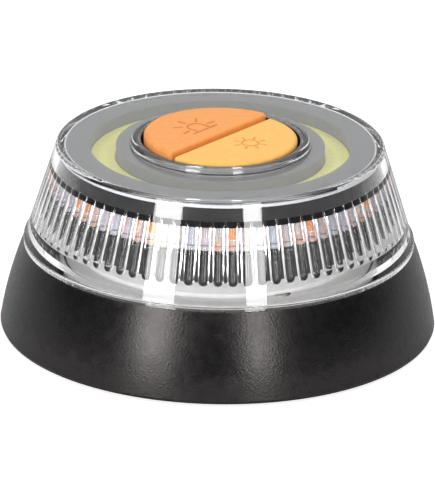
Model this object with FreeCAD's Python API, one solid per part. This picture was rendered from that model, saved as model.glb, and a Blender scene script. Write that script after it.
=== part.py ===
"""Battery beacon with a clear fluted lens, an amber LED ring, a COB work light and two press keys.

Millimetres, +Z up. The origin is the centre of the round foot, on the surface the beacon stands on,
and -Y is the front. Each piece of the beacon is one node, written to parts/NODE.step.

The light engine is a stack on the bottom plate: battery bay, main board, light tower, reflector deck,
core cap, COB ring and key well. It slides into the welded housing and lens from below, and the case
screws pull it up against the collar seal.
"""

import FreeCAD, Part
import math
import os

Vector = FreeCAD.Vector
UP = Vector(0, 0, 1)

# ---- clearances ----
SEAT_GAP = 0.1          # between pieces that locate each other
LOOSE_GAP = 0.2         # round a piece that drops into place
RUN_GAP = 0.3           # beside a piece that moves

# ---- base housing: the black skirt ----
BASE_R = 50.0           # widest, just above the foot
BASE_LIFT = 0.3         # lower edge, above the surface the beacon stands on
BASE_EDGE = 1.0         # lower edge, broken by two facets
BASE_BULGE = 0.55       # how far the side bows out of the straight line to the shoulder
SHOULDER_IN = 5.25      # the shoulder, where base and lens meet, inside the widest circle
BASE_WALL = 2.2
RIM_WALL = 1.7          # wall beside the bottom plate
LEDGE_T = 2.8           # ledge under the lens
LEDGE_LAND = 1.05       # ledge inside the weld
SEAT_RING_T = 1.5       # ring above the base seal
SEAT_RING_W = 1.6
WELD_T = 1.4            # weld spigot under the lens foot
WELD_H = 1.8

# ---- lens cover ----
LENS_H = 23.4           # from the shoulder to the top face
LENS_TOP_IN = 12.75     # the top edge, inside the widest circle
LENS_RIM_ROUND = 0.9
LENS_WALL = 2.2
LENS_TOP_T = 1.6
LENS_FOOT_LIP = 1.1     # height of the lip at the foot
LENS_FOOT_STEP = 0.48   # how far the lip stands out of the cone
LENS_FOOT_ROUND = 0.4   # upper edge of the lip
FLUTE_LOW_H = 4.35      # lower ends of the flutes above the shoulder
FLUTE_HIGH_DROP = 5.0   # upper ends of the flutes below the top face
FLUTES = 80
FLUTE_DEPTH = 1.0
FLUTE_LAND = 0.2        # plain strip between two flutes
COLLAR_H = 1.2          # collar round the key well, above the top face
COLLAR_ROUND = 0.35     # its inner edge
COLLAR_CREST_W = 0.4

# ---- bottom plate ----
PLATE_Z = 0.6
PLATE_T = 2.4
SCREW_CIRCLE_IN = 6.6   # case screws, inside the widest circle
CASE_SCREWS = 4
CASE_SCREW_ANGLE = 45.0
CASE_BOSS_R = 3.0
CASE_BOSS_H = 9.4
PAD_T = 1.6             # raised pad under each case boss
SEAL_W = 1.4
SEAL_SINK = 1.0         # depth of the rebate for the base seal

# ---- magnets and feet ----
MAGNETS = 4
MAGNET_CIRCLE_IN = 9.4  # magnets, inside the widest circle
MAGNET_R = 4.0
MAGNET_T = 3.0
MAGNET_CUP_WALL = 1.1
FOOT_R = 5.5
FOOT_T = 1.0

# ---- batteries: three AAA cells side by side ----
CELLS = 3
CELL_R = 5.25
CELL_L = 44.5
CELL_NUB_R = 1.9
CELL_NUB_L = 1.0
CELL_GAP = 0.4          # between two cells
SPRING_L = 3.2          # squeezed length of a contact spring
SPRING_WIRE_R = 0.35
SPRING_WIDE_R = 3.6
SPRING_NARROW_R = 2.2
SPRING_TURNS = 2.5
CONTACT_T = 0.5
CONTACT_W = 8.0
CONTACT_H = 9.0
TAB_W = 3.0
BAY_WALL = 1.4
BAY_ROOF_T = 1.2
BAY_HEADROOM = 0.3
CELL_LIFT = 0.6         # cells above the battery cover

# ---- battery cover: a bayonet disc turned with a coin ----
COVER_LAND = 2.1        # plate between the cover and the foot pads
COVER_RECESS = 0.3      # its face above the underside of the plate
COVER_T = 2.0
COVER_TURN = 25.0       # degrees from locked to free
LUGS = 3
LUG_REACH = 1.3
LUG_T = 1.0
LUG_WIDTH = 20.0        # degrees
LUG_STOP_GAP = 0.5      # degrees
LUG_ANGLE = 90.0        # first lug, locked
WELL_WALL = 1.4
COVER_SEAL_IN = 1.75    # middle of the seal, inside the cover's edge
COVER_SEAL_W = 1.4
COVER_SEAL_SINK = 1.0
PARTITION_T = 1.2
COIN_SLOT_L = 16.0
COIN_SLOT_W = 2.2
COIN_SLOT_D = 1.1

# ---- main board ----
BOARD_LIFT = 0.6        # board above the bay's roof
BOARD_T = 1.6
BOARD_LAND = 0.9        # between the board and the tower's bore
BOARD_POST_ANGLE = 56.3
BOARD_POST_IN = 2.46    # board screws, inside the board's edge
BOARD_POST_R = 2.6
CHIP_L = 6.0
CHIP_W = 5.0
CHIP_T = 1.7
CHIP_LIFT = 0.3
CHIP_X = 9.0
CHIP_Y = -8.0
LEG_W = 1.2
LEG_T = 0.8
LEG_REACH = 1.2         # beyond the chip's body
LEG_PITCH = 2.1
INDUCTOR_R = 4.6
INDUCTOR_NECK_R = 3.4
INDUCTOR_H = 5.4
INDUCTOR_RIM_T = 1.0
INDUCTOR_X = -10.0
INDUCTOR_Y = -7.0
CAPACITOR_R = 3.15
CAPACITOR_NECK_R = 2.9
CAPACITOR_H = 7.4
CAPACITOR_NECK_Z = 1.4  # middle of the rolled neck
CAPACITOR_PITCH = 10.0
CAPACITOR_X = -1.0
CAPACITOR_Y = 9.0

# ---- light tower and its posts ----
TOWER_WALL = 1.6
TOWER_RISE = 1.5        # foot of the tower above the underside of the main board
TOWER_FLANGE_W = 7.5
TOWER_FLANGE_T = 2.6
TOWER_LIP = 0.5
POSTS = 4
POST_LAND = 3.5         # from the edge of the flange to the middle of a post
POST_ANGLE = 22.5
POST_R = 3.2

# ---- reflector deck ----
DECK_INSET = 2.5        # the deck's outer edge, inside the tower's flange
DECK_T = 2.4            # at the tower
DECK_EDGE_T = 0.75      # at its outer edge
DECK_EDGE = 0.25
DECK_DROP = 0.4         # tower flange below the shoulder

# ---- LED ring ----
STRIP_T = 0.6
STRIP_H = 7.3
LEDS = 12
LED_ANGLE = -86.0       # the first LED beside the front
LED_W = 4.2
LED_H = 4.2
LED_T = 1.2
LED_DROP = 2.4          # middle of the LED below the visor

# ---- core cap ----
VISOR_REACH = 3.0       # brim of the cap beyond the tower
CAP_WALL = 1.4
CAP_H = 3.85
CAP_DROP = 0.9          # top of the cap below the lens' top plate
CAP_FLANGE_T = 1.2
CAP_FLOOR_DROP = 3.9    # face of the floor below the cap's top
CAP_FLOOR_T = 1.2
CAP_SPIGOT_L = 2.4
CAP_SPIGOT_T = 1.0
WELL_LAND = 5.1         # from the key well to the trough
WELL_TUBE_T = 1.8
WELL_LIP = 0.9          # inward lip that holds the keys
WELL_LIP_T = 1.0
WELL_LIP_DROP = 0.6     # below the lens' underside
COLLAR_SEAL_T = 0.4

# ---- COB ring and bezel ----
BEZEL_REACH = 0.2       # beyond the cap
BEZEL_T = 0.8
TROUGH_W = 6.0
TROUGH_LAND = 2.5       # from the trough to the tower's side
TROUGH_WALL = 0.8
COB_T = 0.8
PHOSPHOR_T = 0.3
PHOSPHOR_MARGIN = 0.1

# ---- keys ----
KEY_SPLIT = 0.8         # gap between the two keys
KEY_ANGLE = 51.3        # direction of the split, from +X
BEACON_KEY_H = 2.4      # above the lens
TORCH_KEY_H = 1.5
KEY_TRAVEL = 1.2
KEY_WALL = 1.6
KEY_EDGE_R = 0.7
KEY_CORNER_R = 0.8
KEY_FLANGE_W = 0.9
KEY_FLANGE_T = 1.4
STEM_R = 2.4
STEM_SHARE = 0.49       # middle of the stem, from the split to the rim
DOME_H = 4.6
DOME_LOW_R = 4.6
DOME_TOP_R = 2.8
DOME_WALL = 0.7

# ---- switch board ----
SWITCH_BOARD_LAND = 6.0  # from the board's edge to the tower's side
SWITCH_BOARD_T = 1.6
SWITCH_SCREWS = 3
SWITCH_SCREW_IN = 2.6   # screws, inside the board's edge
SWITCH_SCREW_ANGLE = 30.0
SWITCH_BOSS_R = 2.3

# ---- screws: shank radius, head radius, head height, shank length ----
CASE_SCREW = (1.25, 2.3, 1.6, 9.0)
TOWER_SCREW = (1.1, 2.0, 1.5, 8.0)
BOARD_SCREW = (1.0, 1.8, 1.3, 5.0)
SWITCH_SCREW = (0.9, 1.6, 1.1, 4.0)
SCREW_GAP = 0.05        # round a shank in its hole, on the radius
CROSS_D = 0.8           # depth of the cross recess

# ---- leads ----
LEAD_R = 0.6
COB_LEAD_OUT = 3.8      # from the trough's inner wall
SWITCH_LEAD_CIRCLE_R = 14.0

# ---- radii, from the widest circle inwards ----
SHOULDER_R = BASE_R - SHOULDER_IN
LENS_FOOT_R = SHOULDER_R - LENS_FOOT_STEP
LENS_TOP_R = BASE_R - LENS_TOP_IN
RIM_R = BASE_R - RIM_WALL
PLATE_R = RIM_R - LOOSE_GAP
SCREW_CIRCLE_R = BASE_R - SCREW_CIRCLE_IN
MAGNET_CIRCLE_R = BASE_R - MAGNET_CIRCLE_IN
COVER_R = MAGNET_CIRCLE_R - FOOT_R - COVER_LAND
COVER_WELL_R = COVER_R + RUN_GAP
COVER_SEAL_R = COVER_R - COVER_SEAL_IN
LUG_R = COVER_R + LUG_REACH
LUG_WELL_R = LUG_R + RUN_GAP
WELD_R = SHOULDER_R - BASE_WALL - WELD_T / 2
LEDGE_HOLE_R = WELD_R - WELD_T / 2 - LEDGE_LAND
TOWER_FLANGE_R = LEDGE_HOLE_R - RUN_GAP
DECK_R = TOWER_FLANGE_R - DECK_INSET
POST_CIRCLE_R = TOWER_FLANGE_R - POST_LAND
TOWER_R = TOWER_FLANGE_R - TOWER_FLANGE_W
TOWER_BORE_R = TOWER_R - TOWER_WALL
NECK_R = TOWER_R - STRIP_T
CAP_R = TOWER_R + VISOR_REACH
BEZEL_R = CAP_R + BEZEL_REACH
TROUGH_OUT_R = TOWER_R - TROUGH_LAND
TROUGH_IN_R = TROUGH_OUT_R - TROUGH_W
COB_LEAD_CIRCLE_R = TROUGH_IN_R + COB_LEAD_OUT
WELL_R = TROUGH_IN_R - WELL_LAND        # inside of the key well
WELL_TUBE_R = WELL_R + WELL_TUBE_T
WELL_LIP_R = WELL_R - WELL_LIP
KEY_R = WELL_LIP_R - RUN_GAP
STEM_Y = KEY_R * STEM_SHARE
BOARD_R = TOWER_BORE_R - BOARD_LAND
SWITCH_BOARD_R = TOWER_R - SWITCH_BOARD_LAND
SWITCH_SCREW_CIRCLE_R = SWITCH_BOARD_R - SWITCH_SCREW_IN

# ---- heights, from the foot upwards ----
PLATE_TOP_Z = PLATE_Z + PLATE_T
SEAL_SQUEEZED = SEAL_SINK + RUN_GAP
SEAT_RING_Z = PLATE_TOP_Z + RUN_GAP
PAD_TOP_Z = PLATE_TOP_Z + PAD_T
CASE_BOSS_TOP_Z = PAD_TOP_Z + CASE_BOSS_H
COVER_Z = PLATE_Z + COVER_RECESS
COVER_TOP_Z = COVER_Z + COVER_T
PARTITION_Z = COVER_TOP_Z + RUN_GAP
PARTITION_TOP_Z = PARTITION_Z + PARTITION_T
CELL_PITCH = 2 * CELL_R + CELL_GAP
CELL_Z = COVER_TOP_Z + CELL_LIFT + CELL_R
BAY_X = (CELL_L + SPRING_L) / 2 + CONTACT_T + SEAT_GAP
BAY_Y = CELL_PITCH * (CELLS - 1) / 2 + CELL_R + LOOSE_GAP
BAY_TOP_Z = CELL_Z + CELL_R + BAY_HEADROOM
BAY_ROOF_Z = BAY_TOP_Z + BAY_ROOF_T
BOARD_Z = BAY_ROOF_Z + BOARD_LIFT
TOWER_LOW_Z = BOARD_Z + TOWER_RISE
TOWER_FLANGE_TOP_Z = TOWER_LOW_Z + TOWER_FLANGE_T
SHOULDER_Z = TOWER_FLANGE_TOP_Z + DECK_DROP
LENS_TOP_Z = SHOULDER_Z + LENS_H
LENS_UNDER_Z = LENS_TOP_Z - LENS_TOP_T
FLUTE_LOW_Z = SHOULDER_Z + FLUTE_LOW_H
FLUTE_HIGH_Z = LENS_TOP_Z - FLUTE_HIGH_DROP
CAP_TOP_Z = LENS_UNDER_Z - CAP_DROP
VISOR_Z = CAP_TOP_Z - CAP_H
TOWER_TOP_Z = VISOR_Z - STRIP_H
CAP_FLOOR_TOP_Z = CAP_TOP_Z - CAP_FLOOR_DROP
CAP_FLOOR_Z = CAP_FLOOR_TOP_Z - CAP_FLOOR_T
WELL_TUBE_TOP_Z = LENS_UNDER_Z - COLLAR_SEAL_T
WELL_LIP_TOP_Z = LENS_UNDER_Z - WELL_LIP_DROP
KEY_FLANGE_TOP_Z = WELL_LIP_TOP_Z - WELL_LIP_T - SEAT_GAP
KEY_LOW_Z = KEY_FLANGE_TOP_Z - KEY_FLANGE_T
BEACON_KEY_Z = LENS_TOP_Z + BEACON_KEY_H
TORCH_KEY_Z = LENS_TOP_Z + TORCH_KEY_H
DOME_TOP_Z = KEY_LOW_Z - SEAT_GAP
SWITCH_BOARD_TOP_Z = DOME_TOP_Z - DOME_H
COB_Z = CAP_FLOOR_TOP_Z + TROUGH_WALL
COB_TOP_Z = COB_Z + COB_T


# ---- helpers ----
def turned(outline):
    """A closed outline of (radius, height) points, revolved about Z."""
    points = [Vector(r, 0, z) for r, z in outline]
    face = Part.Face(Part.makePolygon(points + points[:1]))
    return face.revolve(Vector(), UP, 360)


def ring(inner, outer, low, high):
    return turned([(inner, low), (outer, low), (outer, high), (inner, high)])


def disc(radius, low, high, x=0.0, y=0.0):
    return Part.makeCylinder(radius, high - low, Vector(x, y, low))


def block(x_size, y_size, low, high, x=0.0, y=0.0):
    corner = Vector(x - x_size / 2, y - y_size / 2, low)
    return Part.makeBox(x_size, y_size, high - low, corner)


def turn(shape, degrees):
    copy = shape.copy()
    copy.rotate(Vector(), UP, degrees)
    return copy


def around(shape, count, first=0.0):
    """Copies of a shape made on the +X side, evenly spaced round Z."""
    return [turn(shape, first + 360.0 * i / count) for i in range(count)]


def sector(inner, outer, low, high, middle, width):
    """Part of a ring, width degrees wide."""
    face = Part.Face(Part.makePolygon([
        Vector(inner, 0, low), Vector(outer, 0, low),
        Vector(outer, 0, high), Vector(inner, 0, high), Vector(inner, 0, low)]))
    return turn(face.revolve(Vector(), UP, width), middle - width / 2)


def joined(shapes):
    return shapes[0].fuse(shapes[1:]).removeSplitter()


def less(shape, tools):
    """A shape with each tool cut away in turn. A tool may be a list of copies that lie apart."""
    for tool in tools:
        shape = shape.cut(Part.makeCompound(tool) if isinstance(tool, list) else tool)
    return shape


def screw(sizes, seat_z, x, y, head_up):
    """Pan-head screw with a cross recess. seat_z is the face its head bears on."""
    shank_r, head_r, head_h, shank_l = sizes
    head = disc(head_r, 0, head_h)
    crown = [edge for edge in head.Edges if abs(edge.CenterOfMass.z - head_h) < 1e-6]
    head = head.makeChamfer(head_h * 0.35, crown)
    for slot in ((head_r, 0.5), (0.5, head_r)):
        head = head.cut(block(slot[0], slot[1], head_h - CROSS_D, head_h))
    body = joined([head, disc(shank_r, -shank_l + shank_r, 0),
                   Part.makeCone(shank_r * 0.3, shank_r, shank_r, Vector(0, 0, -shank_l))])
    if not head_up:
        body.rotate(Vector(), Vector(1, 0, 0), 180)
    body.translate(Vector(x, y, seat_z))
    return body


def pilot(sizes):
    return sizes[0] + SCREW_GAP


# ---- base housing ----
def side_curve(inset):
    """The skirt's side from its lower edge up to the shoulder, moved in by inset."""
    low = Vector(BASE_R - inset, 0, BASE_LIFT + BASE_EDGE)
    high = Vector(SHOULDER_R - inset, 0, SHOULDER_Z)
    out = (high - low).cross(Vector(0, 1, 0)).normalize()
    return Part.Arc(low, (low + high) / 2 - out * BASE_BULGE, high).toShape()


def filled(edges, points):
    """Revolves the outline made of curved edges, and straight lines through points after them."""
    lines = Part.makePolygon([edges[-1].Vertexes[-1].Point] + points + [edges[0].Vertexes[0].Point])
    return Part.Face(Part.Wire(edges + lines.Edges)).revolve(Vector(), UP, 360)


def skirt_solid():
    """The skirt as if solid, with its lower edge broken."""
    facet = BASE_EDGE * 0.3
    return filled([side_curve(0)], [
        Vector(0, 0, SHOULDER_Z), Vector(0, 0, BASE_LIFT), Vector(BASE_R - BASE_EDGE, 0, BASE_LIFT),
        Vector(BASE_R - facet, 0, BASE_LIFT + facet)])


def skirt_hollow():
    """The space inside the skirt's wall, open below and ending at the ledge under the lens."""
    side = side_curve(BASE_WALL)
    space = filled([side], [Vector(0, 0, SHOULDER_Z), Vector(), Vector(BASE_R - BASE_WALL, 0, 0)])
    seat_ring = ring(RIM_R - SEAT_RING_W, BASE_R, SEAT_RING_Z, SEAT_RING_Z + SEAT_RING_T)
    return less(space, [disc(BASE_R, SHOULDER_Z - LEDGE_T, SHOULDER_Z + LEDGE_T), seat_ring,
                        around(case_boss(), CASE_SCREWS, CASE_SCREW_ANGLE)])


def case_boss():
    tube = disc(CASE_BOSS_R, PAD_TOP_Z, CASE_BOSS_TOP_Z, SCREW_CIRCLE_R)
    web = block(BASE_R - SCREW_CIRCLE_R, BASE_WALL * 0.8, PAD_TOP_Z, CASE_BOSS_TOP_Z,
                (BASE_R + SCREW_CIRCLE_R) / 2 + CASE_BOSS_R / 2)
    return tube.fuse(web)


def base_housing():
    hole = disc(pilot(CASE_SCREW), PAD_TOP_Z, PAD_TOP_Z + CASE_SCREW[3], SCREW_CIRCLE_R)
    return less(skirt_solid(), [
        skirt_hollow(),
        disc(RIM_R, 0, SEAT_RING_Z),
        disc(LEDGE_HOLE_R, SHOULDER_Z - LEDGE_T, SHOULDER_Z + LEDGE_T),
        ring(WELD_R - WELD_T / 2 - SEAT_GAP, WELD_R + WELD_T / 2 + SEAT_GAP,
             SHOULDER_Z - WELD_H, SHOULDER_Z + LEDGE_T),
        ring(WELD_R, BASE_R, SHOULDER_Z - SEAT_GAP, SHOULDER_Z + LEDGE_T),
        around(hole, CASE_SCREWS, CASE_SCREW_ANGLE)])


# ---- lens cover ----
def lens_radius(z):
    """Outer radius of the lens' cone at height z."""
    foot_z = SHOULDER_Z + LENS_FOOT_LIP
    return LENS_FOOT_R - (LENS_FOOT_R - LENS_TOP_R) * (z - foot_z) / (LENS_TOP_Z - foot_z)


def lens_outside():
    """The lens as if solid: weld spigot, foot lip, conical wall, rounded rim, collar."""
    rim_z = LENS_TOP_Z - LENS_RIM_ROUND
    rim_low = Vector(lens_radius(rim_z), 0, rim_z)
    rim_in = Vector(LENS_TOP_R - LENS_RIM_ROUND, 0, LENS_TOP_Z)
    bow = Vector(lens_radius(rim_z) - LENS_RIM_ROUND * 0.35, 0, LENS_TOP_Z - LENS_RIM_ROUND * 0.25)
    rim = Part.Arc(rim_low, bow, rim_in).toShape()
    crest_z, crest_r = LENS_TOP_Z + COLLAR_H, WELL_R + COLLAR_ROUND
    collar_out, shoulder = Vector(WELL_TUBE_R, 0, LENS_TOP_Z), Vector(crest_r + COLLAR_CREST_W, 0, crest_z)
    bulge = (collar_out + shoulder) / 2 + Vector(COLLAR_H, 0, COLLAR_H) * 0.2
    slope = Part.Arc(collar_out, bulge, shoulder).toShape()
    crest = Part.makeLine(shoulder, Vector(crest_r, 0, crest_z))
    round_in = Part.Arc(Vector(crest_r, 0, crest_z), Vector(
        crest_r - COLLAR_ROUND * 0.7, 0, crest_z - COLLAR_ROUND * 0.3),
        Vector(WELL_R, 0, crest_z - COLLAR_ROUND)).toShape()
    inner, outer = WELD_R - WELD_T / 2, WELD_R + WELD_T / 2
    foot_z, low_z = SHOULDER_Z + LENS_FOOT_LIP, SHOULDER_Z - WELD_H
    top = Part.makeLine(rim_in, collar_out)
    cone = Part.makeLine(Vector(LENS_FOOT_R, 0, foot_z), rim_low)
    lip_in, lip_out = SHOULDER_R - LENS_FOOT_ROUND, foot_z - LENS_FOOT_ROUND
    lip_top = Part.makeLine(Vector(lip_in, 0, foot_z), Vector(LENS_FOOT_R, 0, foot_z))
    lip = Part.Arc(Vector(SHOULDER_R, 0, lip_out), Vector(
        lip_in + LENS_FOOT_ROUND * 0.707, 0, lip_out + LENS_FOOT_ROUND * 0.707),
        Vector(lip_in, 0, foot_z)).toShape()
    return filled([lip, lip_top, cone, rim, top, slope, crest, round_in], [
        Vector(WELL_R, 0, SHOULDER_Z), Vector(inner, 0, SHOULDER_Z), Vector(inner, 0, low_z),
        Vector(outer, 0, low_z), Vector(outer, 0, SHOULDER_Z), Vector(SHOULDER_R, 0, SHOULDER_Z)])


def lens_cavity(grow=0.0):
    """The space inside the lens wall. grow moves its sloping side out into the wall."""
    foot, inside = WELD_R - WELD_T / 2 + grow, grow - LENS_WALL
    return turned([(0, SHOULDER_Z), (foot, SHOULDER_Z), (foot, SHOULDER_Z + LENS_FOOT_LIP),
                   (lens_radius(FLUTE_LOW_Z) + inside, FLUTE_LOW_Z),
                   (lens_radius(LENS_UNDER_Z) + inside, LENS_UNDER_Z), (0, LENS_UNDER_Z)])


def flute_radius(wall_r):
    """Radius of a flute whose chord fills its share of the circle at wall_r."""
    chord = 2 * math.pi * wall_r / FLUTES - FLUTE_LAND
    return ((chord / 2) ** 2 + FLUTE_DEPTH ** 2) / (2 * FLUTE_DEPTH)


def flute():
    """One convex flute on the lens' inner wall: a tapered round rib with a ball at its lower end."""
    low_wall = lens_radius(FLUTE_LOW_Z) - LENS_WALL
    high_wall = lens_radius(FLUTE_HIGH_Z) - LENS_WALL
    low_r, high_r = flute_radius(low_wall), flute_radius(high_wall)
    low = Vector(low_wall + low_r - FLUTE_DEPTH, 0, FLUTE_LOW_Z + low_r)
    high = Vector(high_wall + high_r - FLUTE_DEPTH, 0, FLUTE_HIGH_Z)
    along = high - low
    rib = Part.makeCone(low_r, high_r, along.Length, low, along)
    return rib.fuse(Part.makeSphere(low_r, low)).common(lens_cavity(SEAT_GAP))


def lens_cover():
    cavity = less(lens_cavity(), [around(flute(), FLUTES)])
    return lens_outside().cut(cavity)


# ---- bottom plate with battery bay, posts and magnet cups ----
def cover_channel():
    """Space for the bayonet lugs: a way in from below and the run round to the stop."""
    low = COVER_Z + COVER_T - LUG_T - SEAT_GAP
    high = COVER_TOP_Z + LOOSE_GAP
    width = LUG_WIDTH + 2 * LUG_STOP_GAP
    run = sector(COVER_R, LUG_WELL_R, low, high, LUG_ANGLE - COVER_TURN / 2, width + COVER_TURN)
    entry = sector(COVER_R, LUG_WELL_R, 0, high, LUG_ANGLE - COVER_TURN, width)
    return around(run.fuse(entry), LUGS)


def tab_slots():
    """Slots in the bay's roof where the two terminal tabs come up to the main board."""
    slots = []
    for side, row in terminal_places():
        x = side * (BAY_X - CONTACT_T / 2)
        slots.append(block(CONTACT_T + SEAT_GAP, TAB_W + LOOSE_GAP, BAY_TOP_Z, BAY_ROOF_Z, x, row))
    return slots


def bottom_plate():
    post = disc(POST_R, PLATE_TOP_Z, TOWER_LOW_Z, POST_CIRCLE_R)
    cup_top = FOOT_T + MAGNET_T + SEAT_GAP + MAGNET_CUP_WALL * 0.7
    cup = disc(MAGNET_R + SEAT_GAP + MAGNET_CUP_WALL, PLATE_TOP_Z, cup_top, MAGNET_CIRCLE_R)
    pad = disc(CASE_BOSS_R + 2 * SEAT_GAP, PLATE_TOP_Z, PAD_TOP_Z, SCREW_CIRCLE_R)
    board_posts = [disc(BOARD_POST_R, PARTITION_Z, BOARD_Z, x, y) for x, y in board_screw_places()]
    body = disc(PLATE_R, PLATE_Z, PLATE_TOP_Z).fuse([
        disc(LUG_WELL_R + WELL_WALL, PLATE_Z, PARTITION_TOP_Z),
        block(2 * (BAY_X + BAY_WALL), 2 * (BAY_Y + BAY_WALL), PARTITION_Z, BAY_ROOF_Z)]
        + board_posts + around(post, POSTS, POST_ANGLE) + around(cup, MAGNETS)
        + around(pad, CASE_SCREWS, CASE_SCREW_ANGLE))
    shank_r, head_r = CASE_SCREW[:2]
    seat_z = case_seat_z()
    screw_hole = disc(head_r + LOOSE_GAP, 0, seat_z, SCREW_CIRCLE_R).fuse(
        disc(shank_r + SEAT_GAP, 0, PAD_TOP_Z, SCREW_CIRCLE_R))
    magnet_hole = disc(MAGNET_R + SEAT_GAP, 0, FOOT_T + MAGNET_T + SEAT_GAP, MAGNET_CIRCLE_R).fuse(
        disc(FOOT_R + SEAT_GAP, 0, FOOT_T, MAGNET_CIRCLE_R))
    post_hole = disc(pilot(TOWER_SCREW), TOWER_LOW_Z - TOWER_SCREW[3], TOWER_LOW_Z, POST_CIRCLE_R)
    return less(body.removeSplitter(), [
        disc(COVER_WELL_R, 0, PARTITION_Z),
        less(block(2 * BAY_X, 2 * BAY_Y, PARTITION_Z, BAY_TOP_Z), [cell_ribs()]),
        ring(PLATE_R - SEAL_W - LOOSE_GAP, BASE_R, PLATE_TOP_Z - SEAL_SINK, PLATE_TOP_Z),
        cover_channel(), tab_slots(),
        around(screw_hole, CASE_SCREWS, CASE_SCREW_ANGLE), around(magnet_hole, MAGNETS),
        around(post_hole, POSTS, POST_ANGLE),
        [disc(pilot(BOARD_SCREW), BOARD_Z - BOARD_SCREW[3], BOARD_Z, x, y)
         for x, y in board_screw_places()]])


def cell_ribs():
    """Ribs on the bay's roof that keep the cells apart."""
    length = 2 * (BAY_X - CONTACT_T - SEAT_GAP)
    return [block(length, CELL_GAP, BAY_TOP_Z - CELL_R / 2, BAY_TOP_Z + BAY_ROOF_T,
                  0, CELL_PITCH * (index + 1 - CELLS / 2)) for index in range(CELLS - 1)]


def case_seat_z():
    return PLATE_Z + CASE_SCREW[2] + LOOSE_GAP


def case_screws():
    places = [math.radians(CASE_SCREW_ANGLE + 360.0 * i / CASE_SCREWS) for i in range(CASE_SCREWS)]
    return [screw(CASE_SCREW, case_seat_z(), SCREW_CIRCLE_R * math.cos(a),
                  SCREW_CIRCLE_R * math.sin(a), False) for a in places]


def base_seal():
    outer = PLATE_R - SEAT_GAP / 2
    return ring(outer - SEAL_W, outer, PLATE_TOP_Z - SEAL_SINK, PLATE_TOP_Z - SEAL_SINK + SEAL_SQUEEZED)


def magnets():
    return around(disc(MAGNET_R, FOOT_T, FOOT_T + MAGNET_T, MAGNET_CIRCLE_R), MAGNETS)


def foot_pads():
    pad = disc(FOOT_R, 0, FOOT_T, MAGNET_CIRCLE_R)
    lower = [edge for edge in pad.Edges if abs(edge.CenterOfMass.z) < 1e-6]
    return around(pad.makeChamfer(FOOT_T * 0.3, lower), MAGNETS)


# ---- battery cover ----
def battery_cover():
    lug = sector(COVER_R - LUG_REACH, LUG_R, COVER_TOP_Z - LUG_T, COVER_TOP_Z, LUG_ANGLE, LUG_WIDTH)
    body = joined([disc(COVER_R, COVER_Z, COVER_TOP_Z)] + around(lug, LUGS))
    groove = ring(COVER_SEAL_R - COVER_SEAL_W / 2 - SEAT_GAP / 2,
                  COVER_SEAL_R + COVER_SEAL_W / 2 + SEAT_GAP / 2,
                  COVER_TOP_Z - COVER_SEAL_SINK, COVER_TOP_Z)
    slot = block(COIN_SLOT_L, COIN_SLOT_W, COVER_Z, COVER_Z + COIN_SLOT_D)
    lower = [edge for edge in slot.Edges if edge.BoundBox.ZLength > COIN_SLOT_D / 2]
    return less(body, [groove, slot.makeFillet(COIN_SLOT_W * 0.45, lower)])


def cover_seal():
    half = COVER_SEAL_W / 2
    low, high = COVER_TOP_Z - COVER_SEAL_SINK, COVER_TOP_Z + LOOSE_GAP
    edge = COVER_SEAL_W * 0.25
    return turned([(COVER_SEAL_R - half, low), (COVER_SEAL_R + half, low),
                   (COVER_SEAL_R + half, high - edge), (COVER_SEAL_R + half - edge, high),
                   (COVER_SEAL_R - half + edge, high), (COVER_SEAL_R - half, high - edge)])


# ---- cells and contacts ----
def cell_rows():
    """(row, side) of each cell: its place across the bay, and the side its nub points to."""
    return [(CELL_PITCH * (i - (CELLS - 1) / 2), 1 if i % 2 == 0 else -1) for i in range(CELLS)]


def terminal_places():
    """(side, row) of the first cell's nub and of the last cell's flat end."""
    first_row, first_side = cell_rows()[0]
    last_row, last_side = cell_rows()[-1]
    return [(first_side, first_row), (-last_side, last_row)]


def battery_cells():
    cells = []
    for row, side in cell_rows():
        nub_end = side * (BAY_X - CONTACT_T - SEAT_GAP / 2)
        along = Vector(-side, 0, 0)
        nub = Part.makeCylinder(CELL_NUB_R, CELL_NUB_L, Vector(nub_end, row, CELL_Z), along)
        can_start = nub_end - side * CELL_NUB_L
        can = Part.makeCylinder(CELL_R, CELL_L - CELL_NUB_L, Vector(can_start, row, CELL_Z), along)
        cells.append(nub.fuse(can.makeChamfer(CELL_R * 0.08, [e for e in can.Edges if e.Closed])))
    return cells


def hexagon(radius, middle):
    """Six-sided outline across the XZ plane: enough for a fine wire."""
    corners = [middle + Vector(radius * math.cos(a), 0, radius * math.sin(a))
               for a in (math.pi * i / 3 for i in range(6))]
    return Part.makePolygon(corners + corners[:1])


def contact_springs():
    """Conical coils between each cell's flat end and its blade, the wide end on the blade."""
    rise = SPRING_L - 2 * SPRING_WIRE_R
    taper = math.atan((SPRING_WIDE_R - SPRING_NARROW_R) / rise)
    slant = rise / math.cos(taper)
    springs = []
    for row, side in cell_rows():
        path = Part.makeHelix(slant / SPRING_TURNS, slant, SPRING_NARROW_R, math.degrees(taper))
        section = hexagon(SPRING_WIRE_R, Vector(SPRING_NARROW_R, 0, 0))
        coil = Part.Wire(path).makePipeShell([section], True, True)
        coil.rotate(Vector(), Vector(0, 1, 0), -90 * side)
        cell_end = -side * (BAY_X - CONTACT_T - SPRING_L + SPRING_WIRE_R)
        coil.translate(Vector(cell_end, row, CELL_Z))
        springs.append(coil)
    return springs


def contact_blade(side, low_row, high_row):
    x = side * (BAY_X - CONTACT_T / 2)
    width = high_row - low_row + CONTACT_W
    return block(CONTACT_T, width, CELL_Z - CONTACT_H / 2, CELL_Z + CONTACT_H / 2,
                 x, (low_row + high_row) / 2)


def bridge_contacts():
    """Blades that join each cell's flat end to the next cell's nub."""
    blades = []
    rows = cell_rows()
    for (row, side), (next_row, _) in zip(rows, rows[1:]):
        blades.append(contact_blade(-side, row, next_row))
    return blades


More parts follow.
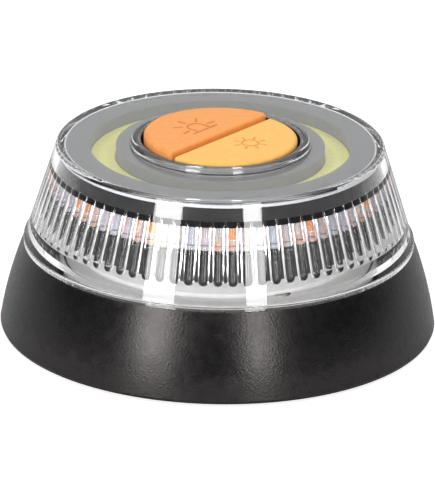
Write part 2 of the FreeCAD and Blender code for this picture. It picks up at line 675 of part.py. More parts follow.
def terminal_contacts():
    """The two end blades, each with a tab up through the roof to the main board."""
    blades = []
    for side, row in terminal_places():
        tab = block(CONTACT_T, TAB_W, CELL_Z, BOARD_Z, side * (BAY_X - CONTACT_T / 2), row)
        blades.append(joined([contact_blade(side, row, row), tab]))
    return blades


# ---- main board ----
def board_screw_places():
    circle, angle = BOARD_R - BOARD_POST_IN, math.radians(BOARD_POST_ANGLE)
    return [(x * circle * math.cos(angle), y * circle * math.sin(angle))
            for x in (-1, 1) for y in (-1, 1)]


def main_board():
    holes = [disc(BOARD_SCREW[0] + SEAT_GAP, BOARD_Z, BOARD_Z + BOARD_T, x, y)
             for x, y in board_screw_places()]
    return disc(BOARD_R, BOARD_Z, BOARD_Z + BOARD_T).cut(holes)


def board_screws():
    return [screw(BOARD_SCREW, BOARD_Z + BOARD_T, x, y, True) for x, y in board_screw_places()]


def driver_chip():
    top = BOARD_Z + BOARD_T
    body = block(CHIP_L, CHIP_W, top + CHIP_LIFT, top + CHIP_LIFT + CHIP_T, CHIP_X, CHIP_Y)
    legs = [block(LEG_W, CHIP_W + 2 * LEG_REACH, top, top + LEG_T, CHIP_X + step * LEG_PITCH, CHIP_Y)
            for step in (-1, 0, 1)]
    return joined([body] + legs)


def inductor():
    top = BOARD_Z + BOARD_T
    high = top + INDUCTOR_H
    core = turned([
        (0, top), (INDUCTOR_R, top), (INDUCTOR_R, top + INDUCTOR_RIM_T),
        (INDUCTOR_NECK_R, top + INDUCTOR_RIM_T), (INDUCTOR_NECK_R, high - INDUCTOR_RIM_T),
        (INDUCTOR_R, high - INDUCTOR_RIM_T), (INDUCTOR_R, high), (0, high)])
    core.translate(Vector(INDUCTOR_X, INDUCTOR_Y, 0))
    return core


def capacitors():
    top = BOARD_Z + BOARD_T
    neck = top + CAPACITOR_NECK_Z
    roll = CAPACITOR_R - CAPACITOR_NECK_R
    can = turned([(0, top), (CAPACITOR_R, top), (CAPACITOR_R, neck - roll), (CAPACITOR_NECK_R, neck),
                  (CAPACITOR_R, neck + roll), (CAPACITOR_R, top + CAPACITOR_H), (0, top + CAPACITOR_H)])
    return [can.translated(Vector(CAPACITOR_X + side * CAPACITOR_PITCH / 2, CAPACITOR_Y, 0))
            for side in (-1, 1)]


def lead_wires():
    """Straight leads: two up to the COB ring, three up to the switch board."""
    low = BOARD_Z + BOARD_T
    cob = [disc(LEAD_R, low, COB_Z, x, y) for x, y in cob_lead_places()]
    angles = [math.radians(90.0 + 12.0 * i) for i in (-1, 0, 1)]
    keys = [disc(LEAD_R, low, SWITCH_BOARD_TOP_Z - SWITCH_BOARD_T,
                 SWITCH_LEAD_CIRCLE_R * math.cos(a), SWITCH_LEAD_CIRCLE_R * math.sin(a))
            for a in angles]
    return cob + keys


def cob_lead_places():
    return [(COB_LEAD_CIRCLE_R * math.cos(a), COB_LEAD_CIRCLE_R * math.sin(a))
            for a in (math.radians(6.0), math.radians(-6.0))]


# ---- light tower, deck and LED ring ----
def light_tower():
    body = turned([(TOWER_BORE_R, TOWER_LOW_Z), (TOWER_FLANGE_R, TOWER_LOW_Z),
                   (TOWER_FLANGE_R, TOWER_FLANGE_TOP_Z), (TOWER_R, TOWER_FLANGE_TOP_Z),
                   (TOWER_R, TOWER_TOP_Z - 2 * TOWER_LIP), (TOWER_R + TOWER_LIP, TOWER_TOP_Z - TOWER_LIP),
                   (TOWER_R + TOWER_LIP, TOWER_TOP_Z), (TOWER_BORE_R, TOWER_TOP_Z)])
    shank_r, head_r, head_h, shank_l = TOWER_SCREW
    hole = disc(shank_r + SEAT_GAP, TOWER_LOW_Z, TOWER_FLANGE_TOP_Z, POST_CIRCLE_R)
    seat = disc(head_r + LOOSE_GAP, tower_seat_z(), TOWER_FLANGE_TOP_Z, POST_CIRCLE_R)
    return body.cut(around(hole.fuse(seat), POSTS, POST_ANGLE))


def tower_seat_z():
    return TOWER_FLANGE_TOP_Z - TOWER_SCREW[2] - SEAT_GAP


def tower_screws():
    places = [math.radians(POST_ANGLE + 360.0 * i / POSTS) for i in range(POSTS)]
    return [screw(TOWER_SCREW, tower_seat_z(), POST_CIRCLE_R * math.cos(a),
                  POST_CIRCLE_R * math.sin(a), True) for a in places]


def reflector_deck():
    low, high = TOWER_FLANGE_TOP_Z, TOWER_FLANGE_TOP_Z + DECK_T
    inner = TOWER_R + LOOSE_GAP
    edge = low + DECK_EDGE_T
    return turned([(inner, low), (DECK_R, low), (DECK_R, edge - DECK_EDGE),
                   (DECK_R - DECK_EDGE, edge), (inner, high)])


def led_strip():
    return ring(NECK_R, TOWER_R, TOWER_TOP_Z, VISOR_Z)


def amber_leds():
    """Each LED is a square package with a low lens window on its face."""
    middle = VISOR_Z - LED_DROP
    flat_x = TOWER_R * math.cos(math.asin(LED_W / 2 / TOWER_R))
    package = Part.makeBox(TOWER_R + LED_T - flat_x, LED_W, LED_H,
                           Vector(flat_x, -LED_W / 2, middle - LED_H / 2))
    package = package.cut(disc(TOWER_R, VISOR_Z - STRIP_H, VISOR_Z))
    return around(package, LEDS, LED_ANGLE)


# ---- core cap with the key well ----
def core_cap():
    spigot_r = TOWER_BORE_R - SEAT_GAP
    lip_r = WELL_LIP_R
    trough_r = TROUGH_OUT_R + TROUGH_WALL + RUN_GAP
    low = SWITCH_BOARD_TOP_Z
    body = turned([
        (WELL_R, low), (WELL_TUBE_R, low), (WELL_TUBE_R, CAP_FLOOR_Z),
        (spigot_r - CAP_SPIGOT_T, CAP_FLOOR_Z), (spigot_r - CAP_SPIGOT_T, TOWER_TOP_Z - CAP_SPIGOT_L),
        (spigot_r, TOWER_TOP_Z - CAP_SPIGOT_L), (spigot_r, TOWER_TOP_Z), (NECK_R, TOWER_TOP_Z),
        (NECK_R, VISOR_Z), (CAP_R, VISOR_Z), (CAP_R, CAP_TOP_Z), (CAP_R - CAP_WALL, CAP_TOP_Z),
        (CAP_R - CAP_WALL, VISOR_Z + CAP_FLANGE_T), (trough_r, VISOR_Z + CAP_FLANGE_T),
        (trough_r, CAP_FLOOR_TOP_Z), (WELL_TUBE_R, CAP_FLOOR_TOP_Z), (WELL_TUBE_R, WELL_TUBE_TOP_Z),
        (WELL_R, WELL_TUBE_TOP_Z), (WELL_R, WELL_LIP_TOP_Z), (lip_r, WELL_LIP_TOP_Z),
        (lip_r, WELL_LIP_TOP_Z - WELL_LIP_T), (WELL_R, WELL_LIP_TOP_Z - WELL_LIP_T)])
    boss = disc(SWITCH_BOSS_R, low, CAP_FLOOR_Z, SWITCH_SCREW_CIRCLE_R)
    body = body.fuse(around(boss, SWITCH_SCREWS, SWITCH_SCREW_ANGLE))
    hole = disc(pilot(SWITCH_SCREW), low, CAP_FLOOR_TOP_Z - CAP_FLOOR_T / 3, SWITCH_SCREW_CIRCLE_R)
    leads = [disc(LEAD_R + SEAT_GAP * 2, CAP_FLOOR_Z, CAP_FLOOR_TOP_Z, x, y)
             for x, y in cob_lead_places()]
    return body.cut(around(hole, SWITCH_SCREWS, SWITCH_SCREW_ANGLE) + leads)


def collar_seal():
    return ring(WELL_R + LOOSE_GAP, WELL_TUBE_R - LOOSE_GAP, WELL_TUBE_TOP_Z, LENS_UNDER_Z)


def top_bezel():
    """The grey ring under the clear top, with the trough that holds the COB ring."""
    top = CAP_TOP_Z + BEZEL_T
    floor = CAP_FLOOR_TOP_Z
    inner, outer = TROUGH_IN_R - TROUGH_WALL, TROUGH_OUT_R + TROUGH_WALL
    body = turned([
        (WELL_TUBE_R + RUN_GAP, CAP_TOP_Z), (inner, CAP_TOP_Z), (inner, floor), (outer, floor),
        (outer, CAP_TOP_Z), (BEZEL_R, CAP_TOP_Z), (BEZEL_R, top), (TROUGH_OUT_R, top),
        (TROUGH_OUT_R, COB_Z), (TROUGH_IN_R, COB_Z), (TROUGH_IN_R, top),
        (WELL_TUBE_R + RUN_GAP, top)])
    return body.cut([disc(LEAD_R + SEAT_GAP * 2, floor, COB_Z, x, y) for x, y in cob_lead_places()])


def cob_board():
    return ring(TROUGH_IN_R + SEAT_GAP, TROUGH_OUT_R - SEAT_GAP, COB_Z, COB_TOP_Z)


def phosphor_ring():
    margin = SEAT_GAP + PHOSPHOR_MARGIN
    return ring(TROUGH_IN_R + margin, TROUGH_OUT_R - margin, COB_TOP_Z, COB_TOP_Z + PHOSPHOR_T)


# ---- keys ----
def half_round(radius, split, low, high):
    """Half a cylinder on the +Y side, its flat face split away from the X axis."""
    whole = disc(radius, low, high)
    return whole.common(block(2 * radius, radius, low, high, 0, split + radius / 2))


def key(top_z, angle):
    """A half-round cap, hollow from below, with a stem to its dome and a flange under the lip."""
    low, flange_top = KEY_LOW_Z, KEY_FLANGE_TOP_Z
    split = KEY_SPLIT / 2
    cap = half_round(KEY_R, split, low, top_z)
    upright = [edge for edge in cap.Edges if edge.BoundBox.ZLength > KEY_FLANGE_T]
    cap = cap.makeFillet(KEY_CORNER_R, upright)
    crown = [edge for edge in cap.Edges if abs(edge.BoundBox.ZMin - top_z) < 1e-4]
    cap = cap.makeFillet(KEY_EDGE_R, crown)
    flange = half_round(KEY_R + KEY_FLANGE_W, split + KEY_CORNER_R, low, flange_top)
    hollow = half_round(KEY_R - KEY_WALL, split + KEY_WALL, low, top_z - KEY_WALL)
    stem = disc(STEM_R, low, top_z - KEY_WALL, 0, split + STEM_Y)
    ribs = half_round(KEY_R - KEY_WALL, split + KEY_WALL, flange_top, top_z - KEY_WALL).common(
        block(2 * KEY_R, KEY_WALL * 0.75, low, top_z, 0, split + STEM_Y).fuse(
            block(KEY_WALL * 0.75, 2 * KEY_R, low, top_z)))
    body = joined([cap.fuse(flange).cut(hollow), stem, ribs])
    return turn(body, angle)


def beacon_key():
    return key(BEACON_KEY_Z, KEY_ANGLE)


def torch_key():
    return key(TORCH_KEY_Z, KEY_ANGLE + 180)


def dome(angle):
    """Silicone return dome under a key's stem, open below."""
    low, high = SWITCH_BOARD_TOP_Z, DOME_TOP_Z
    shape = turned([(DOME_LOW_R, low), (DOME_LOW_R, low + DOME_WALL), (DOME_TOP_R, high - DOME_WALL),
                    (DOME_TOP_R, high), (0, high), (0, high - 2 * DOME_WALL),
                    (DOME_TOP_R - DOME_WALL, high - 2 * DOME_WALL), (DOME_LOW_R - DOME_WALL, low)])
    shape.translate(Vector(0, KEY_SPLIT / 2 + STEM_Y, 0))
    return turn(shape, angle)


def beacon_dome():
    return dome(KEY_ANGLE)


def torch_dome():
    return dome(KEY_ANGLE + 180)


def switch_board():
    low = SWITCH_BOARD_TOP_Z - SWITCH_BOARD_T
    hole = disc(SWITCH_SCREW[0] + SEAT_GAP, low, SWITCH_BOARD_TOP_Z, SWITCH_SCREW_CIRCLE_R)
    return disc(SWITCH_BOARD_R, low, SWITCH_BOARD_TOP_Z).cut(
        around(hole, SWITCH_SCREWS, SWITCH_SCREW_ANGLE))


def switch_screws():
    places = [math.radians(SWITCH_SCREW_ANGLE + 360.0 * i / SWITCH_SCREWS)
              for i in range(SWITCH_SCREWS)]
    return [screw(SWITCH_SCREW, SWITCH_BOARD_TOP_Z - SWITCH_BOARD_T,
                  SWITCH_SCREW_CIRCLE_R * math.cos(a), SWITCH_SCREW_CIRCLE_R * math.sin(a), False)
            for a in places]


NODES = [
    base_housing, lens_cover, bottom_plate, base_seal, case_screws, magnets, foot_pads,
    battery_cover, cover_seal, battery_cells, contact_springs, bridge_contacts, terminal_contacts,
    main_board, board_screws, driver_chip, inductor, capacitors, lead_wires,
    light_tower, tower_screws, reflector_deck, led_strip, amber_leds,
    core_cap, collar_seal, top_bezel, cob_board, phosphor_ring,
    beacon_key, torch_key, beacon_dome, torch_dome, switch_board, switch_screws,
]


def main():
    os.makedirs("parts", exist_ok=True)
    for make in NODES:
        made = make()
        shape = Part.makeCompound(made) if isinstance(made, list) else made
        shape.exportStep(os.path.join("parts", make.__name__ + ".step"))
        solids = len(shape.Solids)
        print(f"{make.__name__}: {solids} solid(s), {shape.Volume / 1000:.2f} cm3, valid {shape.isValid()}")


main()
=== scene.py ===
# %% [markdown]
# # A battery hazard beacon
# The beacon comes as a fixed frame of hard parts, in metres: a black skirt, a clear lens with flutes on
# its inner wall, a ring of amber lamps, a work light under the lens and two rubber keys. This lesson
# dresses those parts. It sets up a small studio, adds a few soft parts and the small raised marks that a
# maker moulds last, and builds a finish for every part out of nodes. Nothing from the frame is moved or
# reshaped here; only the two stiff domes under the keys are replaced by soft ones.

# %% Load the frame
import math

import bmesh
import bpy
from mathutils import Matrix, Vector


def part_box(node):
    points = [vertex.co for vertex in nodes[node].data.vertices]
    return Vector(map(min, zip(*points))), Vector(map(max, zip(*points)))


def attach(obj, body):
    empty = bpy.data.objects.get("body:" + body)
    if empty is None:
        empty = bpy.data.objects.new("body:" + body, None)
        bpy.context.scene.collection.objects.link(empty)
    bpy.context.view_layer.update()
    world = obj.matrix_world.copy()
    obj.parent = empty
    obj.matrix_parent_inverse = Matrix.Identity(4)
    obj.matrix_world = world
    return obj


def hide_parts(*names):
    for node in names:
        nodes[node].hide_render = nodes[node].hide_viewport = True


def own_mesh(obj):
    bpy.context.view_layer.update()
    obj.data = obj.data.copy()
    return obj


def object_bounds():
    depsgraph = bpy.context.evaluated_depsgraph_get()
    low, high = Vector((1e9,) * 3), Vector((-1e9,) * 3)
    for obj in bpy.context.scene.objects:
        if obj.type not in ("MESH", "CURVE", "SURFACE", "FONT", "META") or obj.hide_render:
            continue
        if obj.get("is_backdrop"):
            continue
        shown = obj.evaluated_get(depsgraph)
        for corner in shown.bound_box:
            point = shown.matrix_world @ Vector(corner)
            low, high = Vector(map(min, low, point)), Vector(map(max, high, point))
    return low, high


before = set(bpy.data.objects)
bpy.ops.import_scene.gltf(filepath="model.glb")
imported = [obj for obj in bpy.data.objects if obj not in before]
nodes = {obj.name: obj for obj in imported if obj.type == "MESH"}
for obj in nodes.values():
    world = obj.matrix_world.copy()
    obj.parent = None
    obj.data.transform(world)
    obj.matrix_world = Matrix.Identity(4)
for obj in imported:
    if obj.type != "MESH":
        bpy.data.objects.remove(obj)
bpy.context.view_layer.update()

MM = 0.001

# %% [markdown]
# ## Two small habits
# An operator acts on everything that is selected, and the frame arrives selected. So each step below
# starts by selecting nothing, or only the piece that it works on. A finished piece also keeps its place
# in its mesh, with its object at the origin, so that patterns stay put when the piece moves.

# %% Selecting and settling
SMOOTH_BELOW = math.radians(40)


def deselect():
    if bpy.context.object and bpy.context.object.mode != "OBJECT":
        bpy.ops.object.mode_set(mode="OBJECT")
    bpy.ops.object.select_all(action="DESELECT")


def only(piece):
    deselect()
    piece.select_set(True)
    bpy.context.view_layer.objects.active = piece
    return piece


def settle(piece):
    """Puts the piece's place, turn and size into its mesh, so that its object stands at the origin."""
    only(piece)
    bpy.ops.object.transform_apply(location=True, rotation=True, scale=True)
    return piece


# %% [markdown]
# ## Building with nodes
# Every finish, and the room too, is a small graph of nodes. A few helpers keep the graphs readable: they
# add a node and plug in its values or links by name, do sums and blends, and start a material with the
# colour and roughness of its shader. A socket knows the tree that it belongs to, so a sum needs only its
# values. Numbers that are the same all over a surface are set on the shader.

# %% Adding a node
def plug(value, socket):
    """Links a node's output to a socket, or sets the socket to a number or a colour."""
    if isinstance(value, bpy.types.NodeSocket):
        socket.id_data.links.new(value, socket)
    elif isinstance(value, tuple) and socket.type == "RGBA" and len(value) == 3:
        socket.default_value = (*value, 1)
    else:
        socket.default_value = value


def add(tree, kind, settings=None, **values):
    made = tree.nodes.new("ShaderNode" + kind)
    for name, setting in (settings or {}).items():
        setattr(made, name, setting)
    for name, value in values.items():
        plug(value, made.inputs[name.replace("_", " ")])
    return made


# %% Sums and blends
def tree_of(*values):
    """The tree of nodes that the first socket among some values belongs to."""
    return next(value.id_data for value in values if isinstance(value, bpy.types.NodeSocket))


def sum_of(operation, *values):
    made = add(tree_of(*values), "Math", {"operation": operation})
    for value, socket in zip(values, made.inputs):
        plug(value, socket)
    return made.outputs[0]


def times(first, second):
    return sum_of("MULTIPLY", first, second)


def length_of(first, second):
    """The length of the slanting side of a right triangle."""
    squares = [sum_of("POWER", side, 2.0) for side in (first, second)]
    return sum_of("SQRT", sum_of("ADD", *squares))


def span(value, low, high, to_low=0.0, to_high=1.0):
    """Rescales a value and keeps it inside the new span."""
    return add(value.id_data, "MapRange", None, Value=value, From_Min=low, From_Max=high, To_Min=to_low,
               To_Max=to_high).outputs[0]


def above(value, limit, soft=0.05 * MM):
    return span(value, limit, limit + soft)


def below(value, limit, soft=0.05 * MM):
    return span(value, limit, limit + soft, 1.0, 0.0)


def tint(mask, first, second):
    """The first colour where the mask is 0, the second where it is 1."""
    made = add(mask.id_data, "Mix", {"data_type": "RGBA"})
    for value, index in ((mask, 0), (first, 6), (second, 7)):
        plug(value, made.inputs[index])
    return made.outputs[2]


def blend(share, first, second):
    """The first shader where the share is 0, the second where it is 1."""
    made = add(share.id_data, "MixShader")
    for value, socket in zip((share, first, second), made.inputs):
        plug(value, socket)
    return made.outputs[0]


# %% Places and patterns
def split(vector):
    return add(vector.id_data, "SeparateXYZ", None, Vector=vector).outputs


def round_axis(place):
    """How far a place is from the beacon's upright axis, and how high it is."""
    parts = split(place)
    return length_of(parts["X"], parts["Y"]), parts["Z"]


def normal_of(tree):
    return tree.nodes.new("ShaderNodeNewGeometry").outputs["Normal"]


def noise(place, scale, detail, rough=0.5):
    return add(place.id_data, "TexNoise", None, Vector=place, Scale=scale, Detail=detail, Roughness=rough).outputs[0]


def drawn_out(place, scale, detail, turn=(0, 0, 0)):
    """Noise with a scale for each direction, for surfaces that were drawn, rolled or scratched."""
    pulled = add(place.id_data, "Mapping", None, Vector=place, Rotation=turn, Scale=scale)
    return noise(pulled.outputs[0], 1.0, detail)


# %% Starting a material
def finish(name, colour=(0.5, 0.5, 0.5), rough=0.5, **settings):
    made = bpy.data.materials.new(name)
    made.use_nodes = True
    tree = made.node_tree
    paint(tree, Base_Color=colour, Roughness=rough, **settings)
    return made, tree, tree.nodes.new("ShaderNodeTexCoord").outputs["Object"]


def paint(tree, **values):
    """Sets sockets of the material's own shader, or links them."""
    for name, value in values.items():
        plug(value, tree.nodes["Principled BSDF"].inputs[name.replace("_", " ")])


def bump(height, strength, depth):
    tree = height.id_data
    paint(tree, Normal=add(tree, "Bump", None, Strength=strength, Distance=depth, Height=height).outputs[0])


def surface(tree, shader):
    """Makes a shader the surface of the material."""
    plug(shader, tree.nodes["Material Output"].inputs["Surface"])


def dress(material, *names):
    for name in names:
        for slot in nodes[name].material_slots:
            slot.material = material
    print(material.name, "->", ", ".join(names))


def wear(piece, material):
    """Gives a new piece its only material."""
    piece.data.materials.clear()
    piece.data.materials.append(material)


# %% [markdown]
# ## The camera
# The beacon is seen from a little above with a long lens, as small goods usually are: from far away the
# round top stays a calm ellipse. The aim is a point inside the beacon, low enough to show the skirt. The
# camera leans over by one degree, as a camera held by hand does.

# %% Camera
AIM = Vector((0, 0, 18.4 * MM))
ELEVATION, DISTANCE = math.radians(21.4), 1.126
LEAN = math.radians(1.0)
LENS, SENSOR, SHIFT_SIDEWAYS = 357, 36, -1.17 / 495


def look(piece, target):
    piece.rotation_euler = (Vector(target) - piece.location).to_track_quat("-Z", "Y").to_euler()


deselect()
bpy.ops.object.camera_add(location=AIM + DISTANCE * Vector((0, -math.cos(ELEVATION), math.sin(ELEVATION))))
camera = bpy.context.object
camera.name = "camera"
look(camera, AIM)
camera.rotation_euler.rotate_axis("Z", LEAN)
camera.data.lens = LENS
camera.data.sensor_width = SENSOR
camera.data.shift_x = SHIFT_SIDEWAYS
camera.data.clip_end = 20
bpy.context.scene.camera = camera
print("camera:", round(DISTANCE, 3), "m away,", round(math.degrees(ELEVATION), 1), "degrees up")

# %% [markdown]
# ## The studio
# A clear lens shows what stands round it more than it shows itself. Black parts behind it need a dark
# room in front of them, while its edges need a pale room behind, so the room here goes from dark at the
# front to pale at the back, under a white ceiling. What is seen directly, or through the glass, is plain
# white. The mix is made with the Light Path node, which tells a ray from the camera from a ray that lights
# a part. A ray that left the camera, met a part behind the lens and came out again has crossed the lens
# more than twice or was scattered on its way, and it must find the dim room, or the black parts would
# mirror the white.

# %% What the camera is shown
def shown(tree):
    """1 for a ray from the camera, straight or through clear parts only, and 0 for one that lights a part."""
    path = tree.nodes.new("ShaderNodeLightPath").outputs
    mirrored = times(sum_of("GREATER_THAN", path["Glossy Depth"], 0.5),
                     sum_of("GREATER_THAN", path["Transmission Depth"], 2.5))
    scattered = sum_of("GREATER_THAN", path["Diffuse Depth"], 0.5)
    plain = sum_of("SUBTRACT", 1.0, sum_of("MAXIMUM", mirrored, scattered))
    return sum_of("MAXIMUM", path["Is Camera Ray"], times(path["Is Transmission Ray"], plain))


# %% Room
scene = bpy.context.scene
scene.view_settings.view_transform = "Standard"
scene.cycles.max_bounces = 24
scene.cycles.glossy_bounces = 12
scene.cycles.transmission_bounces = 24
room = bpy.data.worlds.new("studio")
scene.world = room
room.use_nodes = True
tree = room.node_tree
tree.nodes.clear()
WHITE, TILT = (1, 1, 1), 0.4
parts = split(tree.nodes.new("ShaderNodeTexCoord").outputs["Generated"])
walls = span(sum_of("MULTIPLY_ADD", parts["Z"], TILT, parts["Y"]), 0.05, 0.95, 0.012, 0.62)
ceiling = span(parts["Z"], 0.42, 0.66, 0.0, 1.25)
dim = add(tree, "Background", None, Color=WHITE, Strength=sum_of("MAXIMUM", walls, ceiling))
white = add(tree, "Background", None, Color=WHITE)
add(tree, "OutputWorld", None, Surface=blend(shown(tree), dim.outputs[0], white.outputs[0]))

# %% Floor
FLOOR_REACH, FLOOR_DROP, FLOOR_GLOW = 3.0, 0.2 * MM, 0.8
deselect()
bpy.ops.mesh.primitive_circle_add(vertices=96, radius=FLOOR_REACH, fill_type="NGON", location=(0, 0, -FLOOR_DROP))
floor = bpy.context.object
floor.name = "studio_floor"
floor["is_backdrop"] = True
card, tree, place = finish("pale_card", rough=1.0)
glow = add(tree, "Emission", None, Strength=times(shown(tree), FLOOR_GLOW))
both = tree.nodes.new("ShaderNodeAddShader")
plug(tree.nodes["Principled BSDF"].outputs[0], both.inputs[0])
plug(glow.outputs[0], both.inputs[1])
surface(tree, both.outputs[0])
wear(floor, card)
print("floor reaches", round(floor.dimensions.x / 2, 2), "m out")

# %% [markdown]
# Two tall soft boxes stand in front, one on each side. Their long reflections run down the sloping lens
# and say that it is smooth, and on the matt skirt below the same two lights show only as soft patches.

# %% Soft boxes
BOX_HEIGHT, BOX_DISTANCE, BOX_LIFT = 0.5, 1.0, 0.03


def soft_box(name, azimuth, width, power):
    turn = math.radians(azimuth)
    light = bpy.data.lights.new(name, "AREA")
    light.shape = "RECTANGLE"
    light.size, light.size_y = width, BOX_HEIGHT
    light.energy = power
    lamp = bpy.data.objects.new(name, light)
    bpy.context.scene.collection.objects.link(lamp)
    lamp.location = (BOX_DISTANCE * math.sin(turn), -BOX_DISTANCE * math.cos(turn), BOX_LIFT + BOX_HEIGHT * 0.5)
    look(lamp, AIM)


soft_box("left_box", -34, 0.33, 4.8)
soft_box("right_box", 22, 0.21, 3.0)

# %% [markdown]
# ## The raised marks on the keys
# Each rubber key carries a shallow line drawing, moulded with the key: a dome lamp with rays on one, and
# a plain lamp with rays on the other. The lines could be painted by a material, but a finger feels them
# and low light catches them, so they are made as thin pads with soft edges that sink a little into the
# key. Every line is a cube pulled to length and bevelled; the round one is a disc with an inset hole.

# %% One raised line
LINE_W, LINE_UP, LINE_SINK = 0.5 * MM, 0.1 * MM, 0.12 * MM


def polar(radius, degrees):
    a = math.radians(degrees)
    return Vector((radius * math.cos(a), radius * math.sin(a)))


def soften(mesh, width, segments, wanted):
    """Bevels the edges of the mesh in edit mode that a test picks out."""
    bpy.ops.mesh.select_mode(type="EDGE")
    bpy.ops.mesh.select_all(action="DESELECT")
    for edge in bmesh.from_edit_mesh(mesh).edges:
        edge.select = wanted(edge)
    bmesh.update_edit_mesh(mesh)
    bpy.ops.mesh.bevel(offset=width, segments=segments, affect="EDGES")


def bar(start, end, width=LINE_W, up=LINE_UP):
    """A raised line between two places in a plane, its ends round."""
    start, end = Vector(start), Vector(end)
    middle, along = (start + end) / 2, end - start
    deselect()
    bpy.ops.mesh.primitive_cube_add(size=1, location=(middle.x, middle.y, (up - LINE_SINK) / 2),
                                    rotation=(0, 0, math.atan2(along.y, along.x)))
    line = bpy.context.object
    line.scale = (along.length + width, width, up + LINE_SINK)
    settle(line)
    bpy.ops.object.mode_set(mode="EDIT")
    soften(line.data, width * 0.48, 4, lambda edge: abs(edge.verts[0].co.z - edge.verts[1].co.z) > LINE_SINK)
    soften(line.data, up * 0.45, 2, lambda edge: min(v.co.z for v in edge.verts) > up * 0.99)
    bpy.ops.object.mode_set(mode="OBJECT")
    return line


# %% One raised ring
def hoop(middle, radius, width=LINE_W, up=LINE_UP, keep_above=None):
    """A raised ring, or the part of it above keep_above."""
    deselect()
    bpy.ops.mesh.primitive_circle_add(vertices=40, radius=radius + width / 2, fill_type="NGON",
                                      location=(middle[0], middle[1], -LINE_SINK))
    line = bpy.context.object
    settle(line)
    bpy.ops.object.mode_set(mode="EDIT")
    bpy.ops.mesh.select_mode(type="FACE")
    bpy.ops.mesh.select_all(action="SELECT")
    bpy.ops.mesh.inset(thickness=width)
    bpy.ops.mesh.delete(type="FACE")
    bpy.ops.mesh.select_all(action="SELECT")
    bpy.ops.mesh.extrude_region_move(TRANSFORM_OT_translate={"value": (0, 0, up + LINE_SINK)})
    if keep_above is not None:
        bpy.ops.mesh.select_all(action="SELECT")
        bpy.ops.mesh.bisect(plane_co=(0, keep_above, 0), plane_no=(0, 1, 0), clear_inner=True, use_fill=True)
    soften(line.data, up * 0.45, 2, lambda edge: min(v.co.z for v in edge.verts) > up * 0.99
           and len(edge.link_faces) == 2 and edge.calc_face_angle(0) > 0.6)
    bpy.ops.mesh.select_all(action="SELECT")
    bpy.ops.mesh.normals_make_consistent(inside=False)
    bpy.ops.object.mode_set(mode="OBJECT")
    return line


def one_mark(name, lines, body, place):
    """Joins the lines of a mark, lays it in its place and lets it ride on a body."""
    deselect()
    for line in lines:
        line.select_set(True)
    bpy.context.view_layer.objects.active = lines[0]
    bpy.ops.object.join()
    mark = bpy.context.object
    mark.name = mark.data.name = name
    mark.matrix_world = place
    settle(mark)
    bpy.ops.object.shade_smooth_by_angle(angle=SMOOTH_BELOW)
    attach(mark, body)
    print(name, "faces:", len(mark.data.polygons))
    return mark


# %% [markdown]
# ## The sleeve round the keys
# A thin rubber sleeve lines the clear collar. Its inner face is near black, a painted shade for the dark
# gap round the keys, and its outer face is grey. It is a ring of edges pulled up into a tube, given its
# wall by Solidify and its soft lips by Bevel.

# %% Shells from a ring of edges
def edge_ring(name, vertices, radius, middle):
    """A named ring of edges, all selected, in edit mode."""
    deselect()
    bpy.ops.mesh.primitive_circle_add(vertices=vertices, radius=radius, location=middle)
    piece = bpy.context.object
    piece.name = piece.data.name = name
    settle(piece)
    bpy.ops.object.mode_set(mode="EDIT")
    bpy.ops.mesh.select_all(action="SELECT")
    return piece


def pull_up(rise, share=1.0, middle=(0, 0, 0)):
    """Extrudes the selected ring upwards, and draws it in towards a middle."""
    bpy.ops.mesh.extrude_region_move(TRANSFORM_OT_translate={"value": (0, 0, rise)})
    bpy.ops.transform.resize(value=(share, share, 1), center_override=middle)


def thicken(piece, wall, lip):
    """Leaves edit mode, gives the thin shell its wall, inwards, and rounds the wall's edges."""
    bpy.ops.mesh.select_all(action="SELECT")
    bpy.ops.mesh.normals_make_consistent(inside=False)
    only(piece)
    for kind, settings in (("SOLIDIFY", {"thickness": wall, "offset": -1.0}),
                           ("BEVEL", {"width": lip, "segments": 2, "limit_method": "ANGLE"})):
        step = piece.modifiers.new(kind.lower(), kind)
        for name, value in settings.items():
            setattr(step, name, value)
        bpy.ops.object.modifier_apply(modifier=step.name)
    bpy.ops.object.shade_smooth_by_angle(angle=SMOOTH_BELOW)


# %% Sleeve
SLEEVE_R, SLEEVE_WALL, LIP = 18.6 * MM, 0.45 * MM, 0.12 * MM
WELL_LOW, WELL_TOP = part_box("collar_seal")[0][2] - 0.1 * MM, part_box("lens_cover")[1][2] - 0.3 * MM
sleeve = edge_ring("key_sleeve", 128, SLEEVE_R, (0, 0, WELL_LOW))
pull_up(WELL_TOP - WELL_LOW)
thicken(sleeve, SLEEVE_WALL, LIP)
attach(sleeve, "housing")
print("sleeve is", round((WELL_TOP - WELL_LOW) / MM, 2), "mm tall")

# %% [markdown]
# ## The seal round the cap
# A black collar of foam fills the space between the cap and the sloping lens, so that the work light
# doesn't shine down into the flutes. It starts as the same ring of edges, drawn in a little at the top to
# follow the slope of the lens.

# %% Seal
CAP_LOW, CAP_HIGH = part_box("led_strip")[1][2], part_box("core_cap")[1][2]
SEAL_LOW_R, SEAL_HIGH_R, SEAL_WALL, SEAL_BELOW = 36.6 * MM, 35.45 * MM, 0.6 * MM, 0.3 * MM
seal = edge_ring("visor_seal", 160, SEAL_LOW_R, (0, 0, CAP_LOW - SEAL_BELOW))
pull_up(CAP_HIGH - CAP_LOW + 0.1 * MM, SEAL_HIGH_R / SEAL_LOW_R, (0, 0, CAP_HIGH))
thicken(seal, SEAL_WALL, LIP)
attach(seal, "housing")
print("seal reaches", round(seal.dimensions.x / 2 / MM, 2), "mm out")
